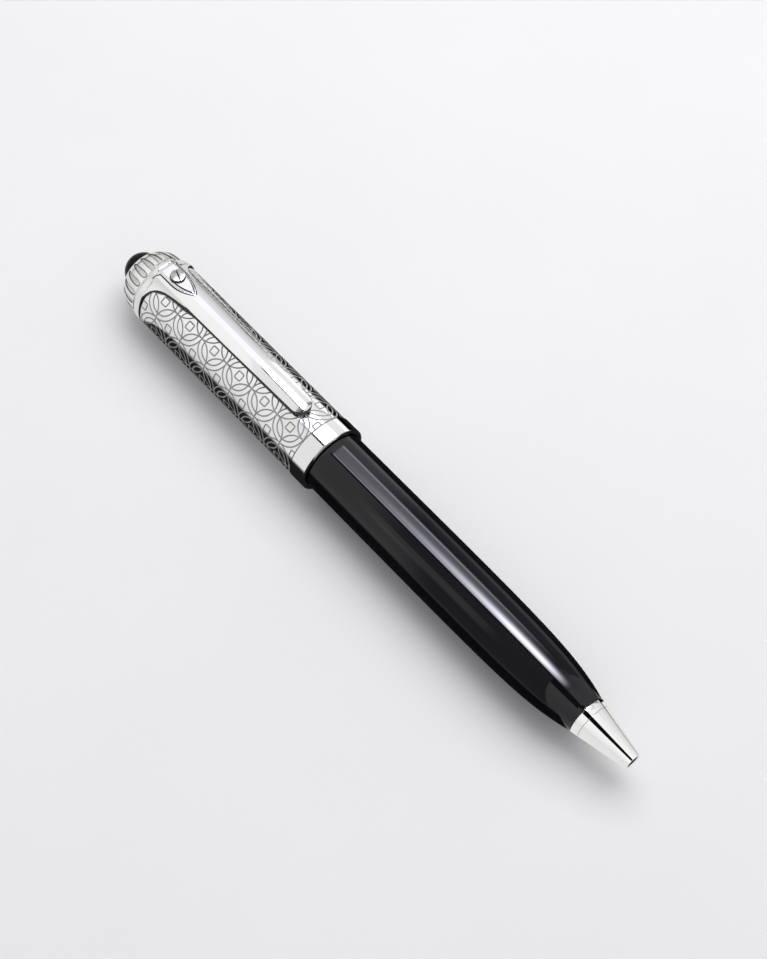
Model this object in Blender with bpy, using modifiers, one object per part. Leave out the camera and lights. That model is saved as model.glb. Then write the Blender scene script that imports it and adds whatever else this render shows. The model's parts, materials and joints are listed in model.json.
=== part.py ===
"""Twist-action rollerball pen, lying along X with its nose at +X and its clip on top.

The cap group (finial, clip, engraved sleeve, band and cam tube) turns on the barrel. Its two
helical slots drive a cross pin along the straight slots of a guide tube fixed to the barrel,
so half a turn pushes the refill out of the nose. Lengths below are in millimetres.
"""

import math

import bmesh
import bpy
from mathutils import Matrix

MM = 0.001
OUTER_STEPS = 40
INNER_STEPS = 24

# Driving dimensions of the outside, from the finial to the nose.
PEN_LENGTH = 136.7
NOSE_TIP = PEN_LENGTH / 2
CABOCHON_TIP = -PEN_LENGTH / 2
CABOCHON_RADIUS = 3.85
CROWN_LENGTH = 5.6
CROWN_RIM_RADIUS = 4.4
CROWN_COLLAR_RADIUS = 6.7
COLLAR_LENGTH = 1.9
SLEEVE_LENGTH = 44.5
SLEEVE_RADIUS = 7.0
BAND_LENGTH = 3.85
BAND_RADIUS = 7.15
BARREL_LENGTH = 66.0
BARREL_RADIUS = 6.25
BARREL_FRONT_RADIUS = 3.85
NOSE_CONE_LENGTH = 9.65
NOSE_BASE_RADIUS = 3.6
MOUTH_OUTER_RADIUS = 1.72
MOUTH_BORE_RADIUS = 1.25

# Driving dimensions of the mechanism and of the refill, a metal one 98.1 long and 5.9 across.
REFILL_LENGTH = 98.1
REFILL_RADIUS = 2.95
TIP_DEPTH_RETRACTED = 2.0
REFILL_STROKE = 5.0
TWIST_ANGLE = math.pi
JOINT_GAP = 0.1
SLIDE_GAP = 0.1

# Stations along the pen, worked out from the driving dimensions.
AXIS_HEIGHT = BAND_RADIUS
CABOCHON_BASE = CABOCHON_TIP + CABOCHON_RADIUS
CROWN_BACK = CABOCHON_BASE - 0.4
COLLAR_BACK = CROWN_BACK + CROWN_LENGTH
SLEEVE_BACK = COLLAR_BACK + COLLAR_LENGTH
SLEEVE_FRONT = SLEEVE_BACK + SLEEVE_LENGTH
BAND_FRONT = SLEEVE_FRONT + BAND_LENGTH
BARREL_FRONT = BAND_FRONT + BARREL_LENGTH
NOSE_BACK = NOSE_TIP - NOSE_CONE_LENGTH
TIP_POINT = NOSE_TIP - TIP_DEPTH_RETRACTED
REFILL_BACK = TIP_POINT - REFILL_LENGTH

# Walls and bores shared by neighbours.
SLEEVE_BORE = 6.2
LINER_BORE = 5.3
BARREL_BORE = 5.35
GUIDE_RADIUS = 4.2
GUIDE_BORE = 3.2
CAM_BORE = GUIDE_RADIUS + 0.15
SPIGOT_RADIUS = 3.4
SPIGOT_BORE = REFILL_RADIUS + SLIDE_GAP
STUD_RADIUS = 1.5
COUPLER_BACK = -25.4
GROOVE_CENTRE = -13.5
PIN_RADIUS = 0.6
PIN_STATION = REFILL_BACK - 9.2
CLIP_SCREW_STATION = -53.7
CLIP_SCREW_RADIUS = 1.37
CLIP_TIP = -16.35
CLIP_TOP = 9.3


def clear_scene():
    for obj in list(bpy.data.objects):
        bpy.data.objects.remove(obj, do_unlink=True)


def new_collection(name):
    made = bpy.data.collections.new(name)
    bpy.context.scene.collection.children.link(made)
    return made


def new_material(name, colour, roughness, metallic):
    made = bpy.data.materials.new(name)
    made.use_nodes = True
    shader = made.node_tree.nodes["Principled BSDF"]
    shader.inputs["Base Color"].default_value = (*colour, 1)
    shader.inputs["Roughness"].default_value = roughness
    shader.inputs["Metallic"].default_value = metallic
    return made


def new_group(name):
    """An empty on the pen's axis, which the pieces of one moving group hang from."""
    made = bpy.data.objects.new(name, None)
    made.empty_display_size = 5 * MM
    made.location = (0, 0, AXIS_HEIGHT * MM)
    parts.objects.link(made)
    return made


def add_mesh(name, mesh, group=None, material=None):
    """An object for a mesh: a part if it has a material, and otherwise a hidden cutter."""
    made = bpy.data.objects.new(name, mesh)
    if material is None:
        cutters.objects.link(made)
        made.hide_render = True
        made.display_type = "WIRE"
        made.parent = axis_frame
    else:
        parts.objects.link(made)
        mesh.materials.append(material)
        made.parent = group
    return made


def mesh_from(bm, name):
    bmesh.ops.recalc_face_normals(bm, faces=bm.faces)
    mesh = bpy.data.meshes.new(name)
    bm.to_mesh(mesh)
    bm.free()
    return mesh


def turned(name, profile, group=None, material=None, steps=INNER_STEPS):
    """A turned piece from its half section, (station, radius) pairs going round it.

    A profile that starts and ends on the axis stays open there, and any other is closed.
    """
    area = sum(
        x0 * r1 - x1 * r0
        for (x0, r0), (x1, r1) in zip(profile, profile[1:] + profile[:1])
    )
    points = profile if area > 0 else profile[::-1]
    solid = points[0][1] == 0 and points[-1][1] == 0
    count = len(points)
    edges = [(i, (i + 1) % count) for i in range(count - 1 if solid else count)]
    mesh = bpy.data.meshes.new(name)
    mesh.from_pydata([(r * MM, 0, x * MM) for x, r in points], edges, [])
    made = add_mesh(name, mesh, group, material)
    made.rotation_euler = (0, math.pi / 2, 0)
    screw = made.modifiers.new("turn", "SCREW")
    screw.steps = screw.render_steps = steps
    screw.use_merge_vertices = True
    screw.merge_threshold = 0.001 * MM
    screw.use_smooth_shade = True
    return made


def tube(name, back, front, bore, radius, group, material, steps=INNER_STEPS):
    profile = [(front, radius), (back, radius), (back, bore), (front, bore)]
    return turned(name, profile, group, material, steps)


def box_cutter(name, low, high):
    bm = bmesh.new()
    bmesh.ops.create_cube(bm, size=1)
    size = [(b - a) * MM for a, b in zip(low, high)]
    centre = [(a + b) / 2 * MM for a, b in zip(low, high)]
    bmesh.ops.transform(bm, matrix=Matrix.Diagonal((*size, 1)), verts=bm.verts)
    made = add_mesh(name, mesh_from(bm, name))
    made.location = centre
    return made


def cross_rod(name, radius, half_length, group=None, material=None, segments=20):
    """A round rod centred on the pen's axis and lying along Y."""
    bm = bmesh.new()
    bmesh.ops.create_cone(
        bm,
        cap_ends=True,
        segments=segments,
        radius1=radius * MM,
        radius2=radius * MM,
        depth=2 * half_length * MM,
    )
    made = add_mesh(name, mesh_from(bm, name), group, material)
    made.rotation_euler = (math.pi / 2, 0, 0)
    return made


def combine(target, other, operation="DIFFERENCE"):
    boolean = target.modifiers.new(other.name, "BOOLEAN")
    boolean.object = other
    boolean.operation = operation
    boolean.solver = "EXACT"


def loft(name, sections, group=None, material=None):
    """A closed body through sections of equal point count, capped at both ends."""
    bm = bmesh.new()
    rings = [[bm.verts.new([c * MM for c in point]) for point in ring] for ring in sections]
    count = len(rings[0])
    for near, far in zip(rings, rings[1:]):
        for i in range(count):
            j = (i + 1) % count
            bm.faces.new((near[i], near[j], far[j], far[i]))
    bm.faces.new(rings[0])
    bm.faces.new(rings[-1])
    return add_mesh(name, mesh_from(bm, name), group, material)


def barrel_radius(station):
    """The barrel's outside: nearly straight behind, and an ogive down to the nose ring."""
    u = max(0, (station - 15.5) / (BARREL_FRONT - 15.5))
    shoulder = 0.5
    return BARREL_RADIUS - shoulder * u**2 - (BARREL_RADIUS - BARREL_FRONT_RADIUS - shoulder) * u**6


def crown_radius(share):
    """The crown's outside, from its rim (0) to the clip collar (1)."""
    rim, collar = CROWN_RIM_RADIUS, CROWN_COLLAR_RADIUS
    return rim + (collar - rim) * (1 - (1 - share) ** 3)


def arc(centre, radius, start, end, count):
    """Points on an arc in the (station, radius) plane, with angles in degrees from +X."""
    angles = [math.radians(start + (end - start) * i / count) for i in range(count + 1)]
    return [
        (centre[0] + radius * math.cos(a), centre[1] + radius * math.sin(a)) for a in angles
    ]


def make_finial():
    dome = arc((CABOCHON_BASE - 0.05, 0), CABOCHON_RADIUS - 0.05, 90, 180, 7)
    dome[-1] = (CABOCHON_TIP, 0)
    foot_front, foot_radius = CABOCHON_BASE + 2.1, 3.35
    foot = [(foot_front, 0), (foot_front, foot_radius), (CABOCHON_BASE - 0.05, foot_radius)]
    turned("cabochon", foot + dome, cap, stone, OUTER_STEPS)

    seat, seat_radius, bore = CABOCHON_BASE + 3.3, 3.45, STUD_RADIUS + SLIDE_GAP
    rim_bore = CABOCHON_RADIUS + 0.08
    front = COLLAR_BACK - JOINT_GAP / 2
    shares = [0, 0.08, 0.18, 0.32, 0.5, 0.72, 1]
    outside = [(CROWN_BACK + s * (front - CROWN_BACK), crown_radius(s)) for s in shares]
    inside = [(front, bore), (seat, bore), (seat, seat_radius), (CABOCHON_BASE, seat_radius)]
    inside += [(CABOCHON_BASE, rim_bore), (CROWN_BACK, rim_bore)]
    crown = turned("crown", outside + inside, cap, silver, OUTER_STEPS)
    combine(crown, flute_cutter())

    head_back, head_front = seat - 1.1, seat - 0.1
    shank_end = SLEEVE_BACK + 4.8
    stud = turned(
        "finial_stud",
        [
            (shank_end, 0),
            (shank_end, STUD_RADIUS),
            (head_front, STUD_RADIUS),
            (head_front, 2.6),
            (head_back, 2.6),
            (head_back, 0),
        ],
        cap,
        steel,
    )
    slot = box_cutter("stud_slot", (head_back - 1, -3, -0.35), (head_back + 0.5, 3, 0.35))
    combine(stud, slot)


def flute_cutter():
    """Long oval hollows, evenly round the crown and tilted along its slope."""
    flutes = 20
    length, width, depth = 2.15, 0.5, 0.5
    middle = 0.54
    station = CROWN_BACK + CROWN_LENGTH * middle
    slope = math.atan2(crown_radius(0.78) - crown_radius(0.3), CROWN_LENGTH * 0.48)
    bm = bmesh.new()
    for i in range(flutes):
        place = (
            Matrix.Rotation(math.tau * (i + 0.5) / flutes, 4, "X")
            @ Matrix.Translation((station * MM, 0, (crown_radius(middle) + 0.02) * MM))
            @ Matrix.Rotation(-slope, 4, "Y")
            @ Matrix.Diagonal((length, width, depth, 1))
        )
        bmesh.ops.create_uvsphere(bm, u_segments=6, v_segments=4, radius=MM, matrix=place)
    return add_mesh("crown_flutes", mesh_from(bm, "crown_flutes"))


def clip_half_width(station):
    """Half the blade's width, tapering from its head to its rounded tip."""
    head, tip_width, end = -50.0, 1.65, CLIP_TIP - 1.5
    share = min(1, max(0, (station - head) / (end - head)))
    return 2.6 - (2.6 - tip_width) * share**1.5


def clip_section(station, bottom, side, top, narrow=1.0):
    """A blade section at a station: flat below, upright sides and a crowned top."""
    w = clip_half_width(station) * narrow
    rise = top - side
    half = [(w, bottom), (w, side), (0.62 * w, side + 0.72 * rise), (0.3 * w, side + 0.94 * rise)]
    left = [(-y, z) for y, z in reversed(half)]
    return [(station, y, z) for y, z in half + [(0, top)] + left]


def make_clip():
    collar_front = SLEEVE_BACK - 0.05
    collar_back = COLLAR_BACK + JOINT_GAP / 2
    collar_bore = 4.5
    clip = turned(
        "clip",
        [
            (collar_front, SLEEVE_RADIUS),
            (collar_back + 0.4, 6.85),
            (collar_back, 6.7),
            (collar_back, collar_bore),
            (collar_front, collar_bore),
        ],
        cap,
        silver,
        OUTER_STEPS,
    )

    over_sleeve = SLEEVE_RADIUS + 0.15
    shell = turned(
        "clip_shoulder",
        [
            (-47.0, 7.9),
            (collar_back + 0.5, 7.6),
            (collar_back + 0.2, 6.4),
            (collar_front - 0.1, 6.4),
            (collar_front - 0.1, over_sleeve),
            (-47.0, over_sleeve),
        ],
        steps=OUTER_STEPS,
    )
    combine(shell, shoulder_outline(), "INTERSECT")
    combine(clip, shell, "UNION")

    head_back = collar_back + 0.15
    blade = loft(
        "clip_blade",
        [
            clip_section(head_back, 6.3, 7.4, 8.3, 0.75),
            clip_section(head_back + 0.6, 6.3, 7.9, 8.95, 0.95),
            clip_section(collar_front - 0.15, 6.3, 8.1, CLIP_TOP),
            clip_section(collar_front - 0.1, 7.3, 8.1, CLIP_TOP),
            clip_section(-50.0, 7.4, 8.2, CLIP_TOP),
            clip_section(-40.0, 7.7, 8.2, 9.25),
            clip_section(-30.0, 7.6, 8.1, 9.15),
            clip_section(-22.5, 7.25, 7.9, 9.0),
            clip_section(-19.0, 7.15, 7.8, 8.85),
            clip_section(-17.6, 7.2, 7.7, 8.6, 0.92),
            clip_section(-16.8, 7.4, 7.6, 8.25, 0.68),
            clip_section(CLIP_TIP, 7.55, 7.65, 7.9, 0.3),
        ],
    )
    combine(clip, blade, "UNION")
    combine(clip, clip_boss(), "UNION")

    screw_hole = turned(
        "clip_screw_hole", [(8.2, 0), (8.2, 0.7), (10.5, 0.7), (10.5, 0)], steps=16
    )
    stand_up(screw_hole)
    combine(clip, screw_hole)

    seat = CLIP_TOP + 0.3
    screw = turned(
        "clip_screw",
        [
            (8.3, 0),
            (8.3, 0.6),
            (seat + 0.05, 0.6),
            (seat + 0.05, CLIP_SCREW_RADIUS),
            (seat + 0.35, CLIP_SCREW_RADIUS - 0.07),
            (seat + 0.6, CLIP_SCREW_RADIUS - 0.45),
            (seat + 0.68, 0),
        ],
        cap,
        silver,
        24,
    )
    stand_up(screw)
    slot = box_cutter("clip_screw_slot", (-2, -0.13, seat + 0.3), (2, 0.13, seat + 2))
    slot.location.x += CLIP_SCREW_STATION * MM
    slot.rotation_euler.z = math.radians(-20)
    combine(screw, slot)

    washer_front = SLEEVE_BACK + 0.25
    tube("clip_washer", SLEEVE_BACK, washer_front, 5.3, 6.6, cap, steel)


def stand_up(obj):
    """Turns a turned piece from the pen's axis to a vertical one through the clip's screw."""
    obj.rotation_euler = (0, 0, 0)
    obj.location.x = CLIP_SCREW_STATION * MM


def shoulder_outline():
    """A prism whose plan is the clip's shoulder, flaring from the blade into the collar."""
    flare = [(-48.0, 2.4), (-51.5, 2.7), (-54.0, 3.1), (-55.6, 3.7), (-56.6, 4.6), (-57.3, 5.9)]
    side = flare + [(COLLAR_BACK + 0.1, 5.9)]
    plan = side + [(x, -y) for x, y in reversed(side)]
    return loft("shoulder_outline", [[(x, y, z) for x, y in plan] for z in (3.5, 9.0)])


def clip_boss():
    """The raised teardrop round the screw, pointed towards the nose."""
    centre, radius, point = CLIP_SCREW_STATION, 1.75, -49.0
    angles = [math.radians(60 + 240 * i / 12) for i in range(13)]
    plan = [(centre + radius * math.cos(a), radius * math.sin(a)) for a in angles]
    plan += [(-51.3, -0.98), (point, 0), (-51.3, 0.98)]
    levels = (CLIP_TOP - 0.9, CLIP_TOP + 0.3)
    return loft("clip_boss", [[(x, y, z) for x, y in plan] for z in levels])


def make_cap():
    boss_back = COLLAR_BACK + JOINT_GAP
    body_back, body_front = SLEEVE_BACK + 0.1, SLEEVE_BACK + 6.9
    turned(
        "cap_insert",
        [
            (body_front, LINER_BORE - JOINT_GAP),
            (body_back, LINER_BORE - JOINT_GAP),
            (body_back, 4.4),
            (boss_back, 4.4),
            (boss_back, STUD_RADIUS + SLIDE_GAP),
            (body_front, STUD_RADIUS + SLIDE_GAP),
        ],
        cap,
        brass,
    )

    back, front = SLEEVE_BACK + 0.3, SLEEVE_FRONT - JOINT_GAP / 2
    edge = 0.25
    turned(
        "engraved_sleeve",
        [
            (front, SLEEVE_RADIUS),
            (back + edge, SLEEVE_RADIUS),
            (back, SLEEVE_RADIUS - edge),
            (back, SLEEVE_BORE),
            (front, SLEEVE_BORE),
        ],
        cap,
        silver,
        OUTER_STEPS,
    )
    tube("cap_liner", back, BAND_FRONT - 0.6, LINER_BORE, SLEEVE_BORE - JOINT_GAP, cap, brass)

    band_back = SLEEVE_FRONT + JOINT_GAP / 2
    turned(
        "centre_band",
        [
            (BAND_FRONT, 6.75),
            (BAND_FRONT - 0.35, 6.9),
            (BAND_FRONT - 0.45, 7.08),
            (BAND_FRONT - 1.2, 7.13),
            (BAND_FRONT - 2.0, BAND_RADIUS),
            (BAND_FRONT - 2.9, 7.12),
            (band_back + 0.15, 7.06),
            (band_back, 6.9),
            (band_back, SLEEVE_BORE),
            (BAND_FRONT, SLEEVE_BORE),
        ],
        cap,
        silver,
        OUTER_STEPS,
    )

    cam_back, cam_front = PIN_STATION - 7.0, COUPLER_BACK - 1.1
    outside = LINER_BORE - JOINT_GAP
    cam = tube("cam_tube", cam_back, cam_front, CAM_BORE, outside, cap, brass)
    for side in (0, 1):
        combine(cam, helical_cutter(side))


def helical_cutter(side):
    """The space swept by one end of the pin, in the cam tube, as the cap makes its half turn."""
    steps, run_out = 26, math.radians(10.5)
    half_slot = PIN_RADIUS + 0.15
    lead = REFILL_STROKE / TWIST_ANGLE
    inner, outer = CAM_BORE - 0.5, LINER_BORE + 0.5
    bm = bmesh.new()
    corners = [
        (PIN_STATION - lead * run_out + dx, r)
        for dx, r in (
            (-half_slot, inner),
            (half_slot, inner),
            (half_slot, outer),
            (-half_slot, outer),
        )
    ]
    face = bm.faces.new([bm.verts.new((x * MM, r * MM, 0)) for x, r in corners])
    start = Matrix.Rotation(run_out + side * math.pi, 4, "X")
    bmesh.ops.transform(bm, matrix=start, verts=bm.verts)
    sweep = TWIST_ANGLE + 2 * run_out
    bmesh.ops.spin(
        bm,
        geom=[face, *face.edges, *face.verts],
        axis=(1, 0, 0),
        cent=(0, 0, 0),
        dvec=(lead * sweep / steps * MM, 0, 0),
        angle=-sweep,
        steps=steps,
        use_duplicate=False,
    )
    bmesh.ops.contextual_create(bm, geom=start_edges(bm))
    return add_mesh(f"cam_slot_{side}", mesh_from(bm, f"cam_slot_{side}"))


def start_edges(bm):
    """The open edges left where a spun face set off."""
    return [edge for edge in bm.edges if edge.is_boundary]


def make_barrel():
    depths = (44, 32, 23, 17, 12.5, 9, 6.2, 4, 2.2, 0.8, 0)
    stations = [BARREL_FRONT - depth for depth in depths]
    back = BAND_FRONT + JOINT_GAP
    front_bore = SPIGOT_RADIUS + SLIDE_GAP
    outside = [(back, BARREL_RADIUS - 0.25), (back + 0.2, BARREL_RADIUS - 0.05)]
    outside += [(x, barrel_radius(x)) for x in stations]
    outside[-1] = (BARREL_FRONT, BARREL_FRONT_RADIUS - 0.15)
    bore = [
        (BARREL_FRONT, front_bore),
        (BARREL_FRONT - 6, front_bore),
        (BARREL_FRONT - 17, BARREL_BORE),
        (back, BARREL_BORE),
    ]
    turned("barrel", outside + bore, barrel, lacquer, OUTER_STEPS)

    groove, groove_radius = 0.55, 4.4
    spigot, thread = LINER_BORE - 0.2, BARREL_BORE - JOINT_GAP
    flange_back, flange_front = BAND_FRONT - 0.5, BAND_FRONT
    socket_end = COUPLER_BACK + 7.4
    turned(
        "barrel_coupler",
        [
            (BAND_FRONT + 13, thread),
            (flange_front, thread),
            (flange_front, 5.95),
            (flange_back, 5.95),
            (flange_back, spigot),
            (GROOVE_CENTRE + groove, spigot),
            (GROOVE_CENTRE + groove, groove_radius),
            (GROOVE_CENTRE - groove, groove_radius),
            (GROOVE_CENTRE - groove, spigot),
            (COUPLER_BACK, spigot),
            (COUPLER_BACK, GUIDE_RADIUS + 0.05),
            (socket_end, GUIDE_RADIUS + 0.05),
            (socket_end, GUIDE_BORE),
            (BAND_FRONT + 13, GUIDE_BORE),
        ],
        barrel,
        brass,
    )
    bpy.ops.mesh.primitive_torus_add(
        major_segments=INNER_STEPS,
        minor_segments=6,
        major_radius=4.81 * MM,
        minor_radius=0.4 * MM,
        location=(GROOVE_CENTRE * MM, 0, 0),
        rotation=(0, math.pi / 2, 0),
    )
    ring = bpy.context.object
    ring.name = "friction_o_ring"
    for owner in list(ring.users_collection):
        owner.objects.unlink(ring)
    parts.objects.link(ring)
    ring.data.materials.append(rubber)
    ring.parent = barrel

    guide_back = PIN_STATION - 9.0
    ring_back, ring_front = PIN_STATION - 7.8, PIN_STATION - 7.15
    groove_floor = GUIDE_RADIUS - 0.45
    guide = turned(
        "guide_tube",
        [
            (socket_end - 0.05, GUIDE_RADIUS),
            (ring_front, GUIDE_RADIUS),
            (ring_front, groove_floor),
            (ring_back, groove_floor),
            (ring_back, GUIDE_RADIUS),
            (guide_back, GUIDE_RADIUS),
            (guide_back, GUIDE_BORE),
            (socket_end - 0.05, GUIDE_BORE),
        ],
        barrel,
        steel,
    )
    reach = PIN_RADIUS + 0.15
    slot_back, slot_front = PIN_STATION - reach, PIN_STATION + REFILL_STROKE + reach
    combine(guide, box_cutter("guide_slots", (slot_back, -6, -0.7), (slot_front, 6, 0.7)))

    clip_ring = tube(
        "retaining_ring", ring_back + 0.05, ring_front - 0.05, groove_floor + 0.05, 5.0, barrel, steel
    )
    combine(clip_ring, box_cutter("ring_gap", (ring_back - 1, -1.6, -6), (ring_front + 1, 1.6, 0)))
    washer_back, washer_front = COUPLER_BACK - 0.95, COUPLER_BACK - 0.1
    tube("thrust_washer", washer_back, washer_front, GUIDE_RADIUS + 0.1, 5.15, barrel, acetal)


def make_nose():
    ring_back, ring_front = BARREL_FRONT + JOINT_GAP, NOSE_BACK - 0.3
    edge = 0.1
    turned(
        "nose_ring",
        [
            (ring_front, 3.7),
            (ring_front - edge, 3.8),
            (ring_back + edge, 3.82),
            (ring_back, 3.72),
            (ring_back, SPIGOT_RADIUS + SLIDE_GAP),
            (ring_front, SPIGOT_RADIUS + SLIDE_GAP),
        ],
        barrel,
        silver,
        OUTER_STEPS,
    )
    spigot_back = BARREL_FRONT - 5.8
    spring_seat = NOSE_TIP - 4.45
    shoulder_front = TIP_POINT - 12.5 + REFILL_STROKE + 0.25
    spring_bore = 2.15
    turned(
        "nose_cone",
        [
            (NOSE_TIP, MOUTH_OUTER_RADIUS),
            (NOSE_BACK, NOSE_BASE_RADIUS),
            (NOSE_BACK, SPIGOT_RADIUS),
            (spigot_back, SPIGOT_RADIUS),
            (spigot_back, SPIGOT_BORE),
            (shoulder_front, SPIGOT_BORE),
            (shoulder_front + 0.9, spring_bore),
            (spring_seat, spring_bore),
            (spring_seat, MOUTH_BORE_RADIUS),
            (NOSE_TIP, MOUTH_BORE_RADIUS),
        ],
        nose,
        silver,
        OUTER_STEPS,
    )
    return spring_seat


def make_refill(spring_seat):
    shoulder = TIP_POINT - 12.5
    tube_back, tube_front = REFILL_BACK + 1.7, shoulder - 2.0
    tube_bore = 2.6
    plug_radius = tube_bore - 0.1

    push_back, push_front = PIN_STATION - 3.0, REFILL_BACK - 0.1
    pusher = turned(
        "carrier",
        [
            (push_front - 2.5, 0),
            (push_front - 2.5, 1.2),
            (push_front, 1.2),
            (push_front, GUIDE_BORE - SLIDE_GAP),
            (push_back + 0.4, GUIDE_BORE - SLIDE_GAP),
            (push_back, GUIDE_BORE - 0.5),
            (push_back, 0),
        ],
        refill,
        acetal,
    )
    pin_hole = cross_rod("pin_hole", PIN_RADIUS + 0.05, 5)
    pin = cross_rod("follower_pin", PIN_RADIUS, 5.1, refill, steel)
    for rod in (pin_hole, pin):
        rod.location.x = PIN_STATION * MM
    combine(pusher, pin_hole)

    turned(
        "refill_end_plug",
        [
            (tube_back + 3.0, 0),
            (tube_back + 3.0, plug_radius),
            (tube_back - 0.05, plug_radius),
            (tube_back - 0.05, REFILL_RADIUS),
            (REFILL_BACK + 0.4, REFILL_RADIUS),
            (REFILL_BACK, REFILL_RADIUS - 0.4),
            (REFILL_BACK, 0),
        ],
        refill,
        acetal,
    )
    tube("refill_tube", tube_back, tube_front, tube_bore, REFILL_RADIUS, refill, steel)
    wick_front = tube_front - 3.3
    turned(
        "ink_reservoir",
        [(wick_front, 0), (wick_front, 2.5), (tube_back + 3.2, 2.5), (tube_back + 3.2, 0)],
        refill,
        fibre,
        20,
    )

    neck_radius, neck_front = 1.2, TIP_POINT - 5.3
    feed_bore, shank_bore, shank_back = 0.55, 0.75, TIP_POINT - 10.0
    turned(
        "refill_nose",
        [
            (neck_front, neck_radius),
            (shoulder, neck_radius),
            (shoulder, 2.4),
            (shoulder - 0.5, REFILL_RADIUS),
            (tube_front + 0.05, REFILL_RADIUS),
            (tube_front + 0.05, plug_radius),
            (tube_front - 3.0, plug_radius),
            (tube_front - 3.0, feed_bore),
            (shank_back, feed_bore),
            (shank_back, shank_bore),
            (neck_front, shank_bore),
        ],
        refill,
        acetal,
    )
    turned(
        "feed_rod",
        [
            (shank_back - 0.2, 0),
            (shank_back - 0.2, feed_bore - 0.1),
            (wick_front + 0.1, feed_bore - 0.1),
            (wick_front + 0.1, 0),
        ],
        refill,
        fibre,
        12,
    )

    ball_radius = 0.35
    ball_centre = TIP_POINT - ball_radius
    lip, socket_radius = ball_centre + 0.1, ball_radius + 0.04
    channel = 0.2
    turned(
        "refill_tip",
        [
            (lip, 0.48),
            (TIP_POINT - 3.6, 1.15),
            (neck_front + 0.05, 1.15),
            (neck_front + 0.05, shank_bore - 0.05),
            (shank_back + 0.1, shank_bore - 0.05),
            (shank_back + 0.1, channel),
            (ball_centre - 0.6, channel),
            (ball_centre - 0.4, socket_radius),
            (lip, socket_radius),
        ],
        refill,
        steel,
        24,
    )
    bm = bmesh.new()
    bmesh.ops.create_uvsphere(bm, u_segments=12, v_segments=8, radius=ball_radius * MM)
    ball = add_mesh("refill_ball", mesh_from(bm, "refill_ball"), refill, carbide)
    ball.location.x = ball_centre * MM

    make_spring(shoulder + 0.05, spring_seat - 0.05)


def make_spring(back, front):
    """The return spring, an open coil round the refill's neck with its ends closed up."""
    turns, points_per_turn = 7, 10
    coil_radius, wire_radius = 1.8, 0.2
    data = bpy.data.curves.new("return_spring", "CURVE")
    data.dimensions = "3D"
    data.bevel_depth = wire_radius * MM
    data.bevel_resolution = 2
    data.use_fill_caps = True
    spline = data.splines.new("POLY")
    count = turns * points_per_turn + 1
    spline.points.add(count - 1)
    run = front - back - 2 * wire_radius
    for i, point in enumerate(spline.points):
        share = i / (count - 1)
        angle = math.tau * turns * share
        eased = share - 0.6 * math.sin(math.tau * share) / math.tau
        x = back + wire_radius + run * eased
        y, z = coil_radius * math.cos(angle), coil_radius * math.sin(angle)
        point.co = (x * MM, y * MM, z * MM, 1)
    data.materials.append(steel)
    spring = bpy.data.objects.new("return_spring", data)
    parts.objects.link(spring)
    spring.parent = refill


def shade_parts():
    for obj in parts.objects:
        if obj.type == "MESH" and not obj.modifiers:
            obj.data.shade_smooth()
            obj.data.set_sharp_from_angle(angle=math.radians(35))


clear_scene()
parts = new_collection("rollerball_pen")
cutters = new_collection("cutters")
axis_frame = bpy.data.objects.new("axis_frame", None)
axis_frame.location = (0, 0, AXIS_HEIGHT * MM)
cutters.objects.link(axis_frame)

silver = new_material("polished_silver", (0.86, 0.86, 0.85), 0.08, 1)
lacquer = new_material("black_lacquer", (0.008, 0.008, 0.012), 0.05, 0)
stone = new_material("black_stone", (0.006, 0.006, 0.008), 0.04, 0)
brass = new_material("brass", (0.78, 0.6, 0.3), 0.3, 1)
steel = new_material("steel", (0.62, 0.62, 0.64), 0.25, 1)
acetal = new_material("white_acetal", (0.82, 0.82, 0.8), 0.4, 0)
rubber = new_material("black_rubber", (0.02, 0.02, 0.02), 0.7, 0)
fibre = new_material("ink_fibre", (0.03, 0.03, 0.09), 0.9, 0)
carbide = new_material("tungsten_carbide", (0.45, 0.45, 0.47), 0.15, 1)

barrel = new_group("barrel_group")
cap = new_group("cap_group")
nose = new_group("nose_group")
refill = new_group("refill_group")

make_finial()
make_clip()
make_cap()
make_barrel()
make_refill(make_nose())
shade_parts()
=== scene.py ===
"""Looks of the twist-action rollerball pen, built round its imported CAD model.

The pen lies along X with its nose at +X and its clip on top. Shapes are worked out in millimetres
from the pen's axis, and stations and radii come from the boxes of the CAD nodes. An angle is
measured round the axis from the top, positive towards -Y, which is the side that the camera is on.
"""

import json
import math

import bpy
from mathutils import Matrix, Vector
from mathutils.geometry import delaunay_2d_cdt


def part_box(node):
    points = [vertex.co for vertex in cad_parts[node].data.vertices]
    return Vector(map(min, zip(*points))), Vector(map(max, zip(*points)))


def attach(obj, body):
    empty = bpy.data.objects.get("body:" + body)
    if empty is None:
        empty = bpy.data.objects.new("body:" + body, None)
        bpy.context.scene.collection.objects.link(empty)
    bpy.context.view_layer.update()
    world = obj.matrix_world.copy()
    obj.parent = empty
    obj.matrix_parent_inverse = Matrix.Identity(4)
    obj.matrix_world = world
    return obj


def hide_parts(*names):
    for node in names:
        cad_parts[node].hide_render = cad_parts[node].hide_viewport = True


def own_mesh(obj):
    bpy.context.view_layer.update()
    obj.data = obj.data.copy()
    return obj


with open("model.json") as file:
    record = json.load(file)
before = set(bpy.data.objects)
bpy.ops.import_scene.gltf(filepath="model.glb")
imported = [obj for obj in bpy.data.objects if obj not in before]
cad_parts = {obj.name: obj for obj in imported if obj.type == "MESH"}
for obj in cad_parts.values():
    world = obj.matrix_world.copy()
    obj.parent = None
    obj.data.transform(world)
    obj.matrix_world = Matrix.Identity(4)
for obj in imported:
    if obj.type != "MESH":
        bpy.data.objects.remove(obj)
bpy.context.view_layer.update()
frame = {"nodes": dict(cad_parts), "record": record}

MM = 0.001
ROUND, SMALL_ROUND = 192, 96
LINER_BORE = 6.25


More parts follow.
